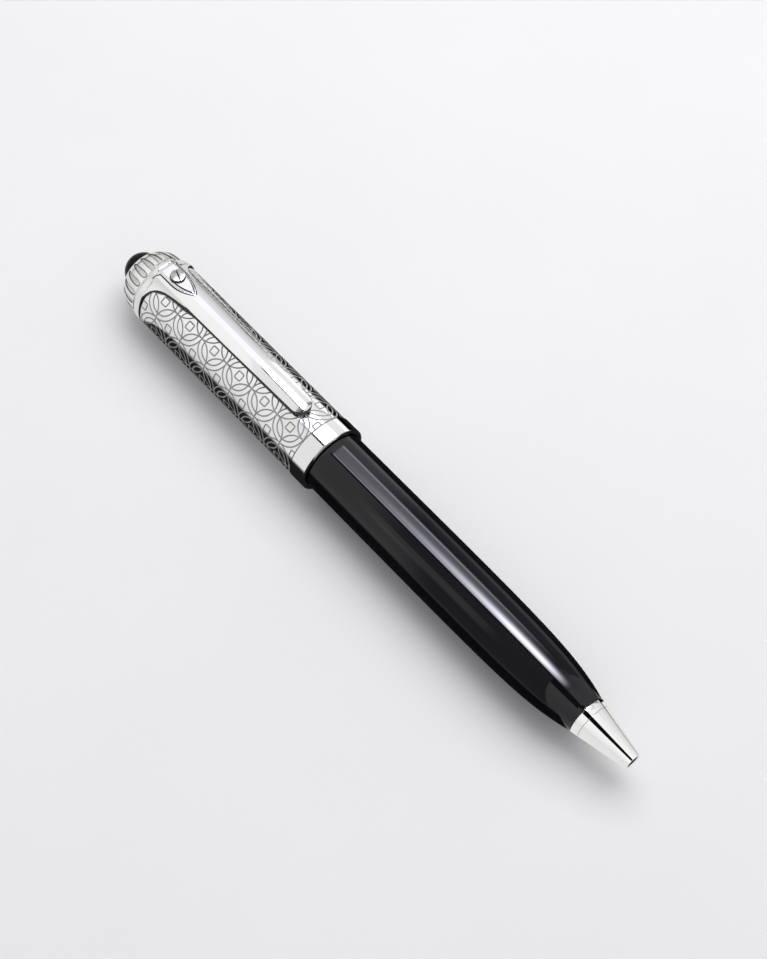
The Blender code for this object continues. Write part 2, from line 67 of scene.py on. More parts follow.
# ---------------------------------------------------------------- sizes from the CAD nodes

def box_mm(node):
    """The lowest and highest corner of a CAD node, in millimetres."""
    low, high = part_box(node)
    return low / MM, high / MM


def extent(node):
    """The back end, the front end and the outer radius of a turned CAD node."""
    low, high = box_mm(node)
    return low.x, high.x, (high.y - low.y) / 2


AXIS_HEIGHT = sum(corner.z for corner in box_mm("centre_band")) / 2


# ---------------------------------------------------------------- turning shapes into pieces

def smoothstep(low, high, value):
    share = min(1, max(0, (value - low) / (high - low)))
    return share * share * (3 - 2 * share)


def soft_max(a, b, reach):
    """The larger of two numbers, rounded off where they are closer together than reach."""
    near = max(reach - abs(a - b), 0) / reach
    return max(a, b) + near * near * reach / 4


def polar(x, angle, radius):
    return (x, -radius * math.sin(angle), radius * math.cos(angle))


def add_piece(name, points, faces, body, slot, finishes, node, **options):
    """A piece from points in millimetres off the axis: it rides on body and stands for a node.

    face_finish gives each face's place in finishes, crease the angle of the edges kept sharp,
    and normals the faces that are shaded as parts of one true surface, with its directions.
    """
    mesh = bpy.data.meshes.new(name)
    mesh.from_pydata([(x * MM, y * MM, (z + AXIS_HEIGHT) * MM) for x, y, z in points], [], faces)
    for finish in finishes:
        mesh.materials.append(finish)
    if "face_finish" in options:
        mesh.polygons.foreach_set("material_index", options["face_finish"])
    mesh.shade_smooth()
    mesh.set_sharp_from_angle(angle=math.radians(options.get("crease", 32)))
    made = bpy.data.objects.new(name, mesh)
    bpy.context.scene.collection.objects.link(made)
    outward(mesh)
    if "normals" in options:
        shade(mesh, *options["normals"])
    elif options.get("weighted", True):
        weighted = made.modifiers.new("even_shading", "WEIGHTED_NORMAL")
        weighted.keep_sharp = True
        weighted.weight = 90
    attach(made, body)
    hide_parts(node)
    return made


def outward(mesh):
    """Turns every face of a closed mesh outwards."""
    volume = 0.0
    for face in mesh.polygons:
        corners = [mesh.vertices[i].co for i in face.vertices]
        for b, c in zip(corners[1:], corners[2:]):
            volume += corners[0].dot(b.cross(c))
    if volume < 0:
        mesh.flip_normals()


def shade(mesh, faces, direction):
    """Shades the corners of some faces as if they faced where direction(vertex) says."""
    normals = [(0.0, 0.0, 0.0)] * len(mesh.loops)
    for face in faces:
        for loop in mesh.polygons[face].loop_indices:
            normals[loop] = direction(mesh.vertices[mesh.loops[loop].vertex_index])
    mesh.normals_split_custom_set(normals)


def revolved(profile, steps=ROUND):
    """Points and faces of a solid of revolution, from (x, radius) pairs going round its section."""
    angles = [math.tau * i / steps for i in range(steps)]
    points, rings = [], []
    for x, radius in profile:
        if radius < 1e-6:
            rings.append([len(points)] * steps)
            points.append((x, 0, 0))
        else:
            rings.append(list(range(len(points), len(points) + steps)))
            points += [polar(x, angle, radius) for angle in angles]
    faces = []
    solid = profile[0][1] < 1e-6 and profile[-1][1] < 1e-6
    pairs = list(zip(rings, rings[1:])) + ([] if solid else [(rings[-1], rings[0])])
    for near, far in pairs:
        for i in range(steps):
            j = (i + 1) % steps
            corners = list(dict.fromkeys((near[i], near[j], far[j], far[i])))
            if len(corners) > 2:
                faces.append(corners)
    return points, faces


def softened(corners, segments=5):
    """A section with rounded corners, from (x, radius of the pen, radius of the corner) triples.

    A corner on the axis is an end of the section, and stays as it is.
    """
    section = []
    for i, (x, r, rounding) in enumerate(corners):
        here = Vector((x, r))
        if rounding == 0 or r < 1e-6:
            section.append((x, r))
            continue
        back = Vector(corners[i - 1][:2]) - here
        ahead = Vector(corners[(i + 1) % len(corners)][:2]) - here
        half = back.angle(ahead) / 2
        run = min(rounding / math.tan(half), 0.48 * back.length, 0.48 * ahead.length)
        back.normalize()
        ahead.normalize()
        centre = here + (back + ahead).normalized() * run / math.cos(half)
        start, end = here + back * run - centre, here + ahead * run - centre
        turn = start.angle_signed(end)
        for k in range(segments + 1):
            spoke = Matrix.Rotation(-turn * k / segments, 2) @ start
            section.append(tuple(centre + spoke))
    return section


def turned_piece(name, corners, body, slot, finish, node, steps=ROUND, in_painted_shade=None, **options):
    """A turned piece. Its painted-shade test says whether a place (x, radius) of its section is
    painted near-black as shade in a hollow.
    """
    section = softened(corners)
    points, faces = revolved(section, steps)
    finishes = [finish]
    if in_painted_shade:
        finishes.append(PAINTED_HOLLOW_SHADE)
        sides = list(zip(section, section[1:] + section[:1]))
        dark = [int(in_painted_shade((a[0] + b[0]) / 2, (a[1] + b[1]) / 2)) for a, b in sides]
        options["face_finish"] = [dark[i // steps] for i in range(len(faces))]
    return add_piece(name, points, faces, body, slot, finishes, node, **options)


class Drawing:
    """Lines and points on an unrolled surface, as (x, distance round) pairs in millimetres."""

    def __init__(self):
        self.points, self.edges = [], []

    def line(self, points, closed=False, keep=None):
        """Adds a run of straight edges. keep says whether a point is near enough to matter."""
        start = len(self.points)
        self.points += points
        count = len(points)
        for i in range(count if closed else count - 1):
            j = (i + 1) % count
            if keep is None or keep(points[i]) or keep(points[j]):
                self.edges.append((start + i, start + j))

    def dots(self, points):
        self.points += points

    def triangles(self, wanted):
        """The Delaunay triangles that keep every line, where wanted(middle) is true."""
        used = {i for edge in self.edges for i in edge}
        lone = [i for i in range(len(self.points)) if i not in used]
        kept = sorted(used) + lone
        place = {old: new for new, old in enumerate(kept)}
        spots = [Vector(self.points[i]) for i in kept]
        edges = [(place[a], place[b]) for a, b in self.edges]
        points, _, faces, *_ = delaunay_2d_cdt(spots, edges, [], 0, 1e-5, False)
        chosen = []
        for face in faces:
            a, b, c = (points[i] for i in face)
            if abs((b - a).cross(c - a)) > 1e-7 and wanted((a + b + c) / 3):
                chosen.append(tuple(face))
        order = {i: n for n, i in enumerate(sorted({i for face in chosen for i in face}))}
        flat = [tuple(points[i]) for i in order]
        return flat, [tuple(order[i] for i in face) for face in chosen]


def ring_order(points, ring):
    """Indices of points sorted by their angle round the pen's axis, with those angles."""
    return sorted((math.atan2(-points[i][1], points[i][2]) % math.tau, i) for i in ring)


def zipped(first, second):
    """Triangles between two rings of (angle, index) pairs, whatever their counts."""
    faces, i, j = [], 0, 0
    count_a, count_b = len(first), len(second)

    def angle(ring, k):
        return ring[k % len(ring)][0] + math.tau * (k // len(ring))

    while i < count_a or j < count_b:
        a, b = first[i % count_a][1], second[j % count_b][1]
        if j >= count_b or (i < count_a and angle(first, i + 1) <= angle(second, j + 1)):
            faces.append((a, first[(i + 1) % count_a][1], b))
            i += 1
        else:
            faces.append((a, second[(j + 1) % count_b][1], b))
            j += 1
    return faces


def wrapped(drawing, back, front, width, sectors, radius_at, inside):
    """A tube whose outside is a drawing repeated round the axis.

    The drawing is width long round one sector, which it fills from back to front. radius_at gives
    a point's radius. inside is the rest of the section, (x, radius) pairs from back to front.
    """
    def wanted(middle):
        return back < middle[0] < front and 0 < middle[1] < width

    flat, triangles = drawing.triangles(wanted)
    near = [(x, i) for i, (x, s) in enumerate(flat) if abs(s) < 1e-4]
    near_only, same = {}, {}
    for x, i in sorted(near):
        same[i] = near_only.setdefault(round(x, 2), i)
    for i, (x, s) in enumerate(flat):
        if abs(s - width) < 1e-4:
            same[i] = min(near, key=lambda spot: abs(spot[0] - x))[1]
            same[i] = same[same[i]]
    points, place = [], {}
    for sector in range(sectors):
        for i, (x, s) in enumerate(flat):
            if same.get(i, i) == i:
                place[sector, i] = len(points)
                angle = math.tau * (sector + s / width) / sectors
                points.append(polar(x, angle, radius_at(x, s)))
    for sector in range(sectors):
        for one, kept in same.items():
            ahead = 1 if flat[one][1] > width / 2 else 0
            place[sector, one] = place[(sector + ahead) % sectors, kept]
    triangles = [face for face in triangles if len({place[0, i] for i in face}) == 3]
    middles = [
        tuple(sum(flat[i][axis] for i in face) / 3 for axis in (0, 1)) for face in triangles
    ]
    faces = [
        tuple(place[k, i] for i in reversed(face)) for k in range(sectors) for face in triangles
    ]
    outside_count = len(faces)
    rims = [
        {place[k, i] for k in range(sectors) for i, (x, _) in enumerate(flat)
         if abs(x - end) < 1e-4}
        for end in (back, front)
    ]
    last = ring_order(points, rims[0])
    for x, radius in inside:
        ring = [(angle, len(points) + n) for n, (angle, _) in enumerate(last)]
        points += [polar(x, angle, radius) for angle, _ in ring]
        faces += [
            (last[n][1], ring[n][1], ring[(n + 1) % len(ring)][1], last[(n + 1) % len(ring)][1])
            for n in range(len(ring))
        ]
        last = ring
    faces += [face[::-1] for face in zipped(last, ring_order(points, rims[1]))]
    return points, faces, outside_count, middles


# ---------------------------------------------------------------- finishes

def wired(tree, kind, out, *ordered, settings=(), **named):
    """Adds a shader node and gives one of its outputs. An input takes a value or an output."""
    made = tree.nodes.new("ShaderNode" + kind)
    for name, value in dict(settings).items():
        setattr(made, name, value)
    for place, value in [*enumerate(ordered), *named.items()]:
        socket = made.inputs[place.replace("_", " ") if isinstance(place, str) else place]
        if isinstance(value, bpy.types.NodeSocket):
            tree.links.new(value, socket)
        else:
            socket.default_value = value
    return made.outputs[out] if out else None


def noise_field(tree, scale, stretch=(1, 1, 1)):
    """Noise in the object's own space. scale is in features per millimetre."""
    place = wired(tree, "TexCoord", "Object")
    sized = [scale / MM * s for s in stretch]
    mapped = wired(tree, "Mapping", "Vector", Vector=place, Scale=sized)
    return wired(tree, "TexNoise", "Fac", Vector=mapped, Scale=1.0, Detail=3.0)


def ranged(tree, value, low, high, source=(0.3, 0.7)):
    return wired(tree, "MapRange", "Result", Value=value, From_Min=source[0], From_Max=source[1],
                 To_Min=low, To_Max=high)


def painted_joint_shade(tree, colour, reach, darkest=0.06):
    """A colour with painted shade: darker where ambient occlusion finds joints and hollows narrower
    than reach, in millimetres.
    """
    hollow = wired(tree, "AmbientOcclusion", "AO", settings={"samples": 12}, Distance=reach * MM)
    shade_of = ranged(tree, hollow, darkest, 1, (0.35, 0.9))
    return wired(tree, "Mix", "Result", settings={"data_type": "RGBA", "blend_type": "MULTIPLY"},
                 Factor=1.0, A=colour, B=shade_of)


def finish(name, colours, metallic, roughness, cloud, grain, stretch, bump, joint_shade_reach=0, **sockets):
    """A material whose colour drifts between two tones and whose gloss varies with its grain.

    cloud and grain are feature sizes in millimetres, and bump is the grain's height. The reach of
    the painted shade is the width of the joints and hollows that it darkens.
    """
    made = bpy.data.materials.new(name)
    made.use_nodes = True
    tree = made.node_tree
    shader = tree.nodes["Principled BSDF"]
    shader.inputs["Metallic"].default_value = metallic
    for socket, value in sockets.items():
        shader.inputs[socket.replace("_", " ")].default_value = value
    drift = ranged(tree, noise_field(tree, 1 / cloud), 0, 1)
    colour = wired(tree, "Mix", "Result", settings={"data_type": "RGBA"}, Factor=drift,
                   A=(*colours[0], 1), B=(*colours[1], 1))
    # painted shade: ambient occlusion darkens the colour in joints and hollows
    if joint_shade_reach:
        colour = painted_joint_shade(tree, colour, joint_shade_reach)
    lines = noise_field(tree, 1 / grain, stretch)
    relief = wired(tree, "Bump", "Normal", Distance=bump * MM, Strength=1.0, Height=lines)
    tree.links.new(colour, shader.inputs["Base Color"])
    tree.links.new(ranged(tree, lines, *roughness), shader.inputs["Roughness"])
    tree.links.new(relief, shader.inputs["Normal"])
    return made


SILVER = finish("polished_silver", [(0.97, 0.965, 0.955), (0.92, 0.915, 0.905)], 1,
                (0.035, 0.085), 6, 0.5, (0.25, 1, 1), 0.0002, joint_shade_reach=0.7)
ENGRAVED = finish("engraved_silver_lands", [(0.965, 0.96, 0.95), (0.91, 0.905, 0.895)], 1,
                  (0.09, 0.15), 4, 0.4, (0.25, 1, 1), 0.0003, joint_shade_reach=0.7)
CUT = finish("engraved_line_floor", [(0.38, 0.38, 0.385), (0.3, 0.3, 0.305)], 0,
             (0.6, 0.8), 2, 0.15, (1, 1, 1), 0.002, Specular_IOR_Level=0.1)
BRIGHT_SILVER = finish("bright_silver", [(0.97, 0.965, 0.955), (0.93, 0.925, 0.915)], 1,
                       (0.035, 0.08), 5, 0.5, (0.25, 1, 1), 0.0002)
# painted shade: darker copies of the silver for the flutes' floors and walls
SHADED_FLUTE = finish("fluted_silver_painted_shade", [(0.9, 0.895, 0.885), (0.72, 0.715, 0.705)], 1,
               (0.08, 0.18), 1.5, 0.3, (0.25, 1, 1), 0.0004, joint_shade_reach=1.3)
# painted shade: a near-black finish for the clip's grooves, walls, underside and the ring round its
# screw
SHADED = finish("painted_shade_edge", [(0.06, 0.06, 0.065), (0.035, 0.035, 0.04)], 0,
                (0.5, 0.7), 1, 0.15, (1, 1, 1), 0.001, Specular_IOR_Level=0.2)
# painted shade: near-black inside the nose cone's bore
PAINTED_HOLLOW_SHADE = finish("bore_painted_shade", [(0.012, 0.012, 0.013), (0.007, 0.007, 0.008)], 0,
                (0.6, 0.8), 1, 0.15, (1, 1, 1), 0.001, Specular_IOR_Level=0.05)
SATIN = finish("satin_silver", [(0.97, 0.965, 0.955), (0.93, 0.925, 0.915)], 1,
               (0.42, 0.52), 3, 0.3, (0.25, 1, 1), 0.0003)
SHADED_FLUTE_WALL = finish("flute_wall_painted_shade", [(0.3, 0.3, 0.3), (0.12, 0.12, 0.125)], 1,
                    (0.15, 0.3), 1.2, 0.3, (1, 1, 1), 0.0006, joint_shade_reach=0.8)
# painted shade: a darker copy of the silver for the clip's screw
SHADED_SCREW_METAL = finish("screw_metal_painted_shade", [(0.56, 0.555, 0.54), (0.36, 0.355, 0.34)], 1,
                     (0.16, 0.26), 0.8, 0.12, (1, 1, 1), 0.0006, joint_shade_reach=0.5)
LACQUER = finish("black_lacquer", [(0.004, 0.004, 0.006), (0.006, 0.006, 0.009)], 0,
                 (0.02, 0.05), 9, 1.6, (0.4, 1, 1), 0.0004, Specular_IOR_Level=0.4)
STONE = finish("black_stone", [(0.002, 0.002, 0.003), (0.007, 0.006, 0.007)], 0,
               (0.02, 0.06), 2.5, 0.8, (1, 1, 1), 0.0002, Specular_IOR_Level=0.08)
BRASS = finish("brass", [(0.83, 0.63, 0.32), (0.74, 0.54, 0.26)], 1,
               (0.2, 0.38), 3, 0.12, (6, 0.3, 0.3), 0.002, joint_shade_reach=0.8)
STEEL = finish("steel", [(0.68, 0.68, 0.7), (0.58, 0.58, 0.6)], 1,
               (0.16, 0.32), 3, 0.1, (6, 0.3, 0.3), 0.0015)
REFILL_METAL = finish("refill_metal", [(0.74, 0.73, 0.7), (0.66, 0.65, 0.62)], 1,
                      (0.22, 0.36), 4, 0.15, (0.3, 1, 1), 0.001)
ACETAL = finish("white_acetal", [(0.82, 0.82, 0.79), (0.76, 0.76, 0.73)], 0,
                (0.32, 0.45), 2, 0.2, (1, 1, 1), 0.002, Subsurface_Weight=0.1)
RUBBER = finish("black_rubber", [(0.02, 0.02, 0.02), (0.03, 0.03, 0.03)], 0,
                (0.6, 0.8), 1, 0.1, (1, 1, 1), 0.004)
FIBRE = finish("ink_fibre", [(0.03, 0.03, 0.1), (0.06, 0.06, 0.16)], 0,
               (0.8, 1.0), 1.5, 0.12, (0.1, 1, 1), 0.02)
CARBIDE = finish("carbide", [(0.5, 0.5, 0.52), (0.42, 0.42, 0.44)], 1,
                 (0.1, 0.2), 0.3, 0.05, (1, 1, 1), 0.0002)

FINISH_OF_SLOT = {
    "polished_silver": SILVER, "engraved_silver": ENGRAVED, "black_lacquer": LACQUER,
    "black_stone": STONE, "brass": BRASS, "steel": STEEL, "refill_metal": REFILL_METAL,
    "white_acetal": ACETAL, "black_rubber": RUBBER, "ink_fibre": FIBRE, "carbide": CARBIDE,
}

for part in frame["record"]["subparts"]:
    node = frame["nodes"][part["node"]]
    node.data.materials.clear()
    node.data.materials.append(FINISH_OF_SLOT[part["material_slot"]])


# ---------------------------------------------------------------- engraved sleeve

LINE_HALF_WIDTH = 0.14
LINE_DEPTH = 0.08
CIRCLE_RADIUS = 3.61
INNER_CIRCLE = 0.74
ROWS = 12
ROW_PHASE = math.radians(3)
FIRST_SQUARE = 4.3
SQUARE_SIDE = 1.45
SQUARE_CORNER = 0.22
CIRCLE_STEPS = 64


def rounded_square(centre, half, corner, steps=4):
    """The outline of a square with rounded corners, its sides along and round the pen."""
    outline = []
    for quadrant in range(4):
        middle = quadrant * math.pi / 2 + math.pi / 4
        knee = [math.copysign(half - corner, f(middle)) for f in (math.cos, math.sin)]
        for k in range(steps + 1):
            turn = quadrant * math.pi / 2 + math.pi / 2 * k / steps
            outline.append((centre[0] + knee[0] + corner * math.cos(turn),
                            centre[1] + knee[1] + corner * math.sin(turn)))
    return outline


def square_distance(dx, dy, half, corner):
    """Distance from a point to the outline of the rounded square."""
    out_x, out_y = abs(dx) - half + corner, abs(dy) - half + corner
    outside = math.hypot(max(out_x, 0), max(out_y, 0))
    return abs(outside + min(max(out_x, out_y), 0) - corner)


class Engraving:
    """Overlapping circles on a diagonal lattice, with a small square on every centre."""

    def __init__(self, radius, first_centre):
        self.row = math.tau * radius / ROWS
        self.first = first_centre

    def centres(self, x, s, reach=1.2):
        """Lattice points within reach steps of a place, as (x, s, whether its row is doubled)."""
        u, v = (x - self.first) / CIRCLE_RADIUS, s / self.row
        for j in range(math.ceil(v - reach), math.floor(v + reach) + 1):
            for i in range(math.ceil(u - reach), math.floor(u + reach) + 1):
                if (i + j) % 2 == 0:
                    yield self.first + i * CIRCLE_RADIUS, j * self.row, j % 2 == 1

    def distance(self, x, s):
        """Distance from a place to the middle of the nearest engraved line."""
        best = 9.0
        mean = (CIRCLE_RADIUS + self.row) / 2
        for cx, cs, doubled in self.centres(x, s):
            spread = math.hypot((x - cx) / CIRCLE_RADIUS, (s - cs) / self.row)
            best = min(best, abs(spread - 1) * mean)
            if doubled:
                best = min(best, abs(spread - INNER_CIRCLE) * mean)
            best = min(best, square_distance(x - cx, s - cs, SQUARE_SIDE / 2, SQUARE_CORNER))
        return best

    def outlines(self, cx, cs, doubled):
        """The edges and the middle of each engraved line round one lattice point."""
        for offset in (-LINE_HALF_WIDTH, 0, LINE_HALF_WIDTH):
            for share in (1, INNER_CIRCLE) if doubled else (1,):
                a, b = share * CIRCLE_RADIUS + offset, share * self.row + offset
                yield [(cx + a * math.cos(math.tau * k / CIRCLE_STEPS),
                        cs + b * math.sin(math.tau * k / CIRCLE_STEPS))
                       for k in range(CIRCLE_STEPS)]
            yield rounded_square((cx, cs), SQUARE_SIDE / 2 + offset, SQUARE_CORNER + offset)


def make_sleeve():
    low, high, radius = extent("engraved_sleeve")
    sectors = ROWS // 2
    width = math.tau * radius / sectors
    end_round = 0.22
    back, front = low + end_round, high - 0.04
    engraving = Engraving(radius, low + FIRST_SQUARE - CIRCLE_RADIUS)
    drawing = Drawing()

    def near(point):
        return back - 0.4 < point[0] < front + 0.4 and -0.4 < point[1] < width + 0.4

    seen = set()
    columns = int((front - back) / CIRCLE_RADIUS) + 4
    for row in range(-1, 4):
        for column in range(-2, columns):
            for cx, cs, doubled in engraving.centres(
                engraving.first + column * CIRCLE_RADIUS, row * engraving.row, 0.1
            ):
                if (column, row) not in seen:
                    seen.add((column, row))
                    for outline in engraving.outlines(cx, cs, doubled):
                        drawing.line(outline, closed=True, keep=near)
    corners = [(back, 0), (front, 0), (front, width), (back, width)]
    drawing.line(corners, closed=True)
    step, clear = 0.42, LINE_HALF_WIDTH + 0.13
    count_x, count_s = round((front - back) / step), round(width / step)
    for i in range(count_x + 1):
        for j in range(count_s + 1):
            x, s = back + (front - back) * i / count_x, width * j / count_s
            if engraving.distance(x, s) > clear:
                drawing.dots([(x, s)])

    def radius_at(x, s):
        return radius - LINE_DEPTH * max(0, 1 - engraving.distance(x, s) / LINE_HALF_WIDTH)

    inside = [(low + 0.07, radius - 0.08), (low, radius - 0.24), (low, LINER_BORE),
              (high, LINER_BORE), (high, radius - 0.06)]
    points, faces, outside_count, middles = wrapped(
        drawing, back, front, width, sectors, radius_at, inside)
    points = [turned(point, ROW_PHASE) for point in points]
    cut = [engraving.distance(*middle) < LINE_HALF_WIDTH * 0.97 for middle in middles]
    face_finish = [int(cut[i % len(cut)]) if i < outside_count else 0 for i in range(len(faces))]
    lands = [i for i in range(outside_count) if not face_finish[i]]
    add_piece("sleeve_engraved", points, faces, "cap_assembly", "engraved_silver", [ENGRAVED, CUT],
              "engraved_sleeve", face_finish=face_finish, normals=(lands, off_axis), crease=20)


def off_axis(vertex):
    """The direction from the pen's axis to a vertex."""
    return Vector((0, vertex.co.y, vertex.co.z - AXIS_HEIGHT * MM)).normalized()


def turned(point, angle):
    """A point turned round the pen's axis, towards -Y at the top."""
    x, y, z = point
    c, s = math.cos(angle), math.sin(angle)
    return (x, y * c - z * s, y * s + z * c)


make_sleeve()


# ---------------------------------------------------------------- crown and dome

FLUTES = 20
FLUTE_HALF_LENGTH, FLUTE_HALF_WIDTH, FLUTE_DEPTH = 2.3, 0.5, 0.5
FLUTE_LEAN = 0.22
CROWN_RIM = 4.4
STUD_BORE = 1.6


def make_crown():
    low, high, widest = extent("crown")
    width = 5.6 * math.tau / FLUTES
    back, front = low + 0.14, high - 0.12
    middle = low + 0.54 * (high - low)

    def outside(x):
        share = (x - low) / (high - low)
        return CROWN_RIM + (widest - CROWN_RIM) * (1 - (1 - share) ** 3)

    def half_width(x):
        """Half the width of a flute, which narrows towards the rim."""
        return FLUTE_HALF_WIDTH * (1 + FLUTE_LEAN * (x - middle) / FLUTE_HALF_LENGTH)

    def oval(x, s):
        """0 in the middle of the flute and 1 on its edge."""
        along, across = abs(x - middle) / FLUTE_HALF_LENGTH, abs(s - width / 2) / half_width(x)
        return (along ** 3 + across ** 3) ** (1 / 3)

    def ring(share, steps=40):
        """A line at one depth of the flute."""
        spots = []
        for k in range(steps):
            along, across = (math.copysign(abs(f(math.tau * k / steps)) ** (2 / 3),
                                           f(math.tau * k / steps)) for f in (math.cos, math.sin))
            x = middle + FLUTE_HALF_LENGTH * share * along
            spots.append((x, width / 2 + half_width(x) * share * across))
        return spots

    drawing = Drawing()
    drawing.line([(back, 0), (front, 0), (front, width), (back, width)], closed=True)
    for share in (1.0, 0.96, 0.86, 0.68, 0.4):
        drawing.line(ring(share), closed=True)
    drawing.dots([(middle + FLUTE_HALF_LENGTH * k / 8, width / 2) for k in range(-2, 3)])
    count_x, count_s = 18, 8
    for i in range(count_x + 1):
        for j in range(count_s + 1):
            x, s = back + (front - back) * i / count_x, width * j / count_s
            if oval(x, s) > 1.12:
                drawing.dots([(x, s)])

    def radius_at(x, s):
        return outside(x) - FLUTE_DEPTH * (1 - min(1, oval(x, s)) ** 2) ** 0.45

    tip, foot, dome_radius = extent("cabochon")
    cup, floor = dome_radius + 0.13, low + 3.0
    inside = [(low + 0.04, outside(low) + 0.02), (low, outside(low) - 0.08), (low, cup + 0.06),
              (low + 0.08, cup), (floor, cup), (floor, STUD_BORE), (high, STUD_BORE),
              (high, outside(high) - 0.1)]
    points, faces, outside_count, middles = wrapped(
        drawing, back, front, width, FLUTES, radius_at, inside)
    shares = [oval(*place) for place in middles]
    # 0 plain silver, 1 a flute's floor and 2 its wall, both in darker silver as painted shade
    kinds = [0 if share > 0.99 else 2 if share > 0.87 else 1 for share in shares]
    face_finish = [kinds[i % len(kinds)] if i < outside_count else 0 for i in range(len(faces))]
    add_piece("crown_fluted", points, faces, "cap_assembly", "polished_silver",
              [SILVER, SHADED_FLUTE, SHADED_FLUTE_WALL], "crown", face_finish=face_finish, crease=24,
              weighted=False)

    shoulder = tip + dome_radius + 0.4
    dome = [(tip + dome_radius * (1 - math.sin(a)), dome_radius * math.cos(a), 0)
            for a in (math.radians(90 * k / 24) for k in range(24, -1, -1))]
    dome[0] = (tip, 0, 0)
    dome += [(shoulder, dome_radius, 0), (shoulder, 3.35, 0.05), (foot, 3.35, 0.1), (foot, 0, 0)]
    turned_piece("cabochon_dome", dome, "cap_assembly", "black_stone", STONE, "cabochon")


make_crown()


# ---------------------------------------------------------------- clip and its screw

COLLAR_BORE = 4.5
GROOVE_HALF_WIDTH, GROOVE_DEPTH = 0.1, 0.08
SCREW_HOLE, SCREW_SEAT = 0.7, 1.53
PLATEAU_HALF, PLATEAU_REACH = 1.25, 4.85
FOOT_HALF, FOOT_REACH = 1.87, 5.6
FLAME_HALF = 1.34
UNROLL = 7.6
SHOULDER_FLARE = [(0.1, 5.95), (0.85, 4.65), (1.85, 3.75), (3.45, 3.08), (5.95, 2.68), (9.45, 2.3),
                  (13, 1.4)]
BLADE_HALF_WIDTH, BLADE_TAPER = 2.6, 0.55
TIP_ROUND = 1.9


def spline(stops, value):
    """A smooth curve through (place, height) stops, by Catmull-Rom, level beyond its ends."""
    if value <= stops[0][0]:
        return stops[0][1]
    if value >= stops[-1][0]:
        return stops[-1][1]
    k = next(i for i in range(len(stops) - 1) if value <= stops[i + 1][0])
    (x0, y0), (x1, y1) = stops[k], stops[k + 1]
    t = (value - x0) / (x1 - x0)

    def slope(i):
        a, b = stops[max(i - 1, 0)], stops[min(i + 1, len(stops) - 1)]
        return (b[1] - a[1]) / (b[0] - a[0]) * (x1 - x0)

    m0, m1 = slope(k), slope(k + 1)
    return ((2 * t**3 - 3 * t**2 + 1) * y0 + (t**3 - 2 * t**2 + t) * m0
            + (3 * t**2 - 2 * t**3) * y1 + (t**3 - t**2) * m1)


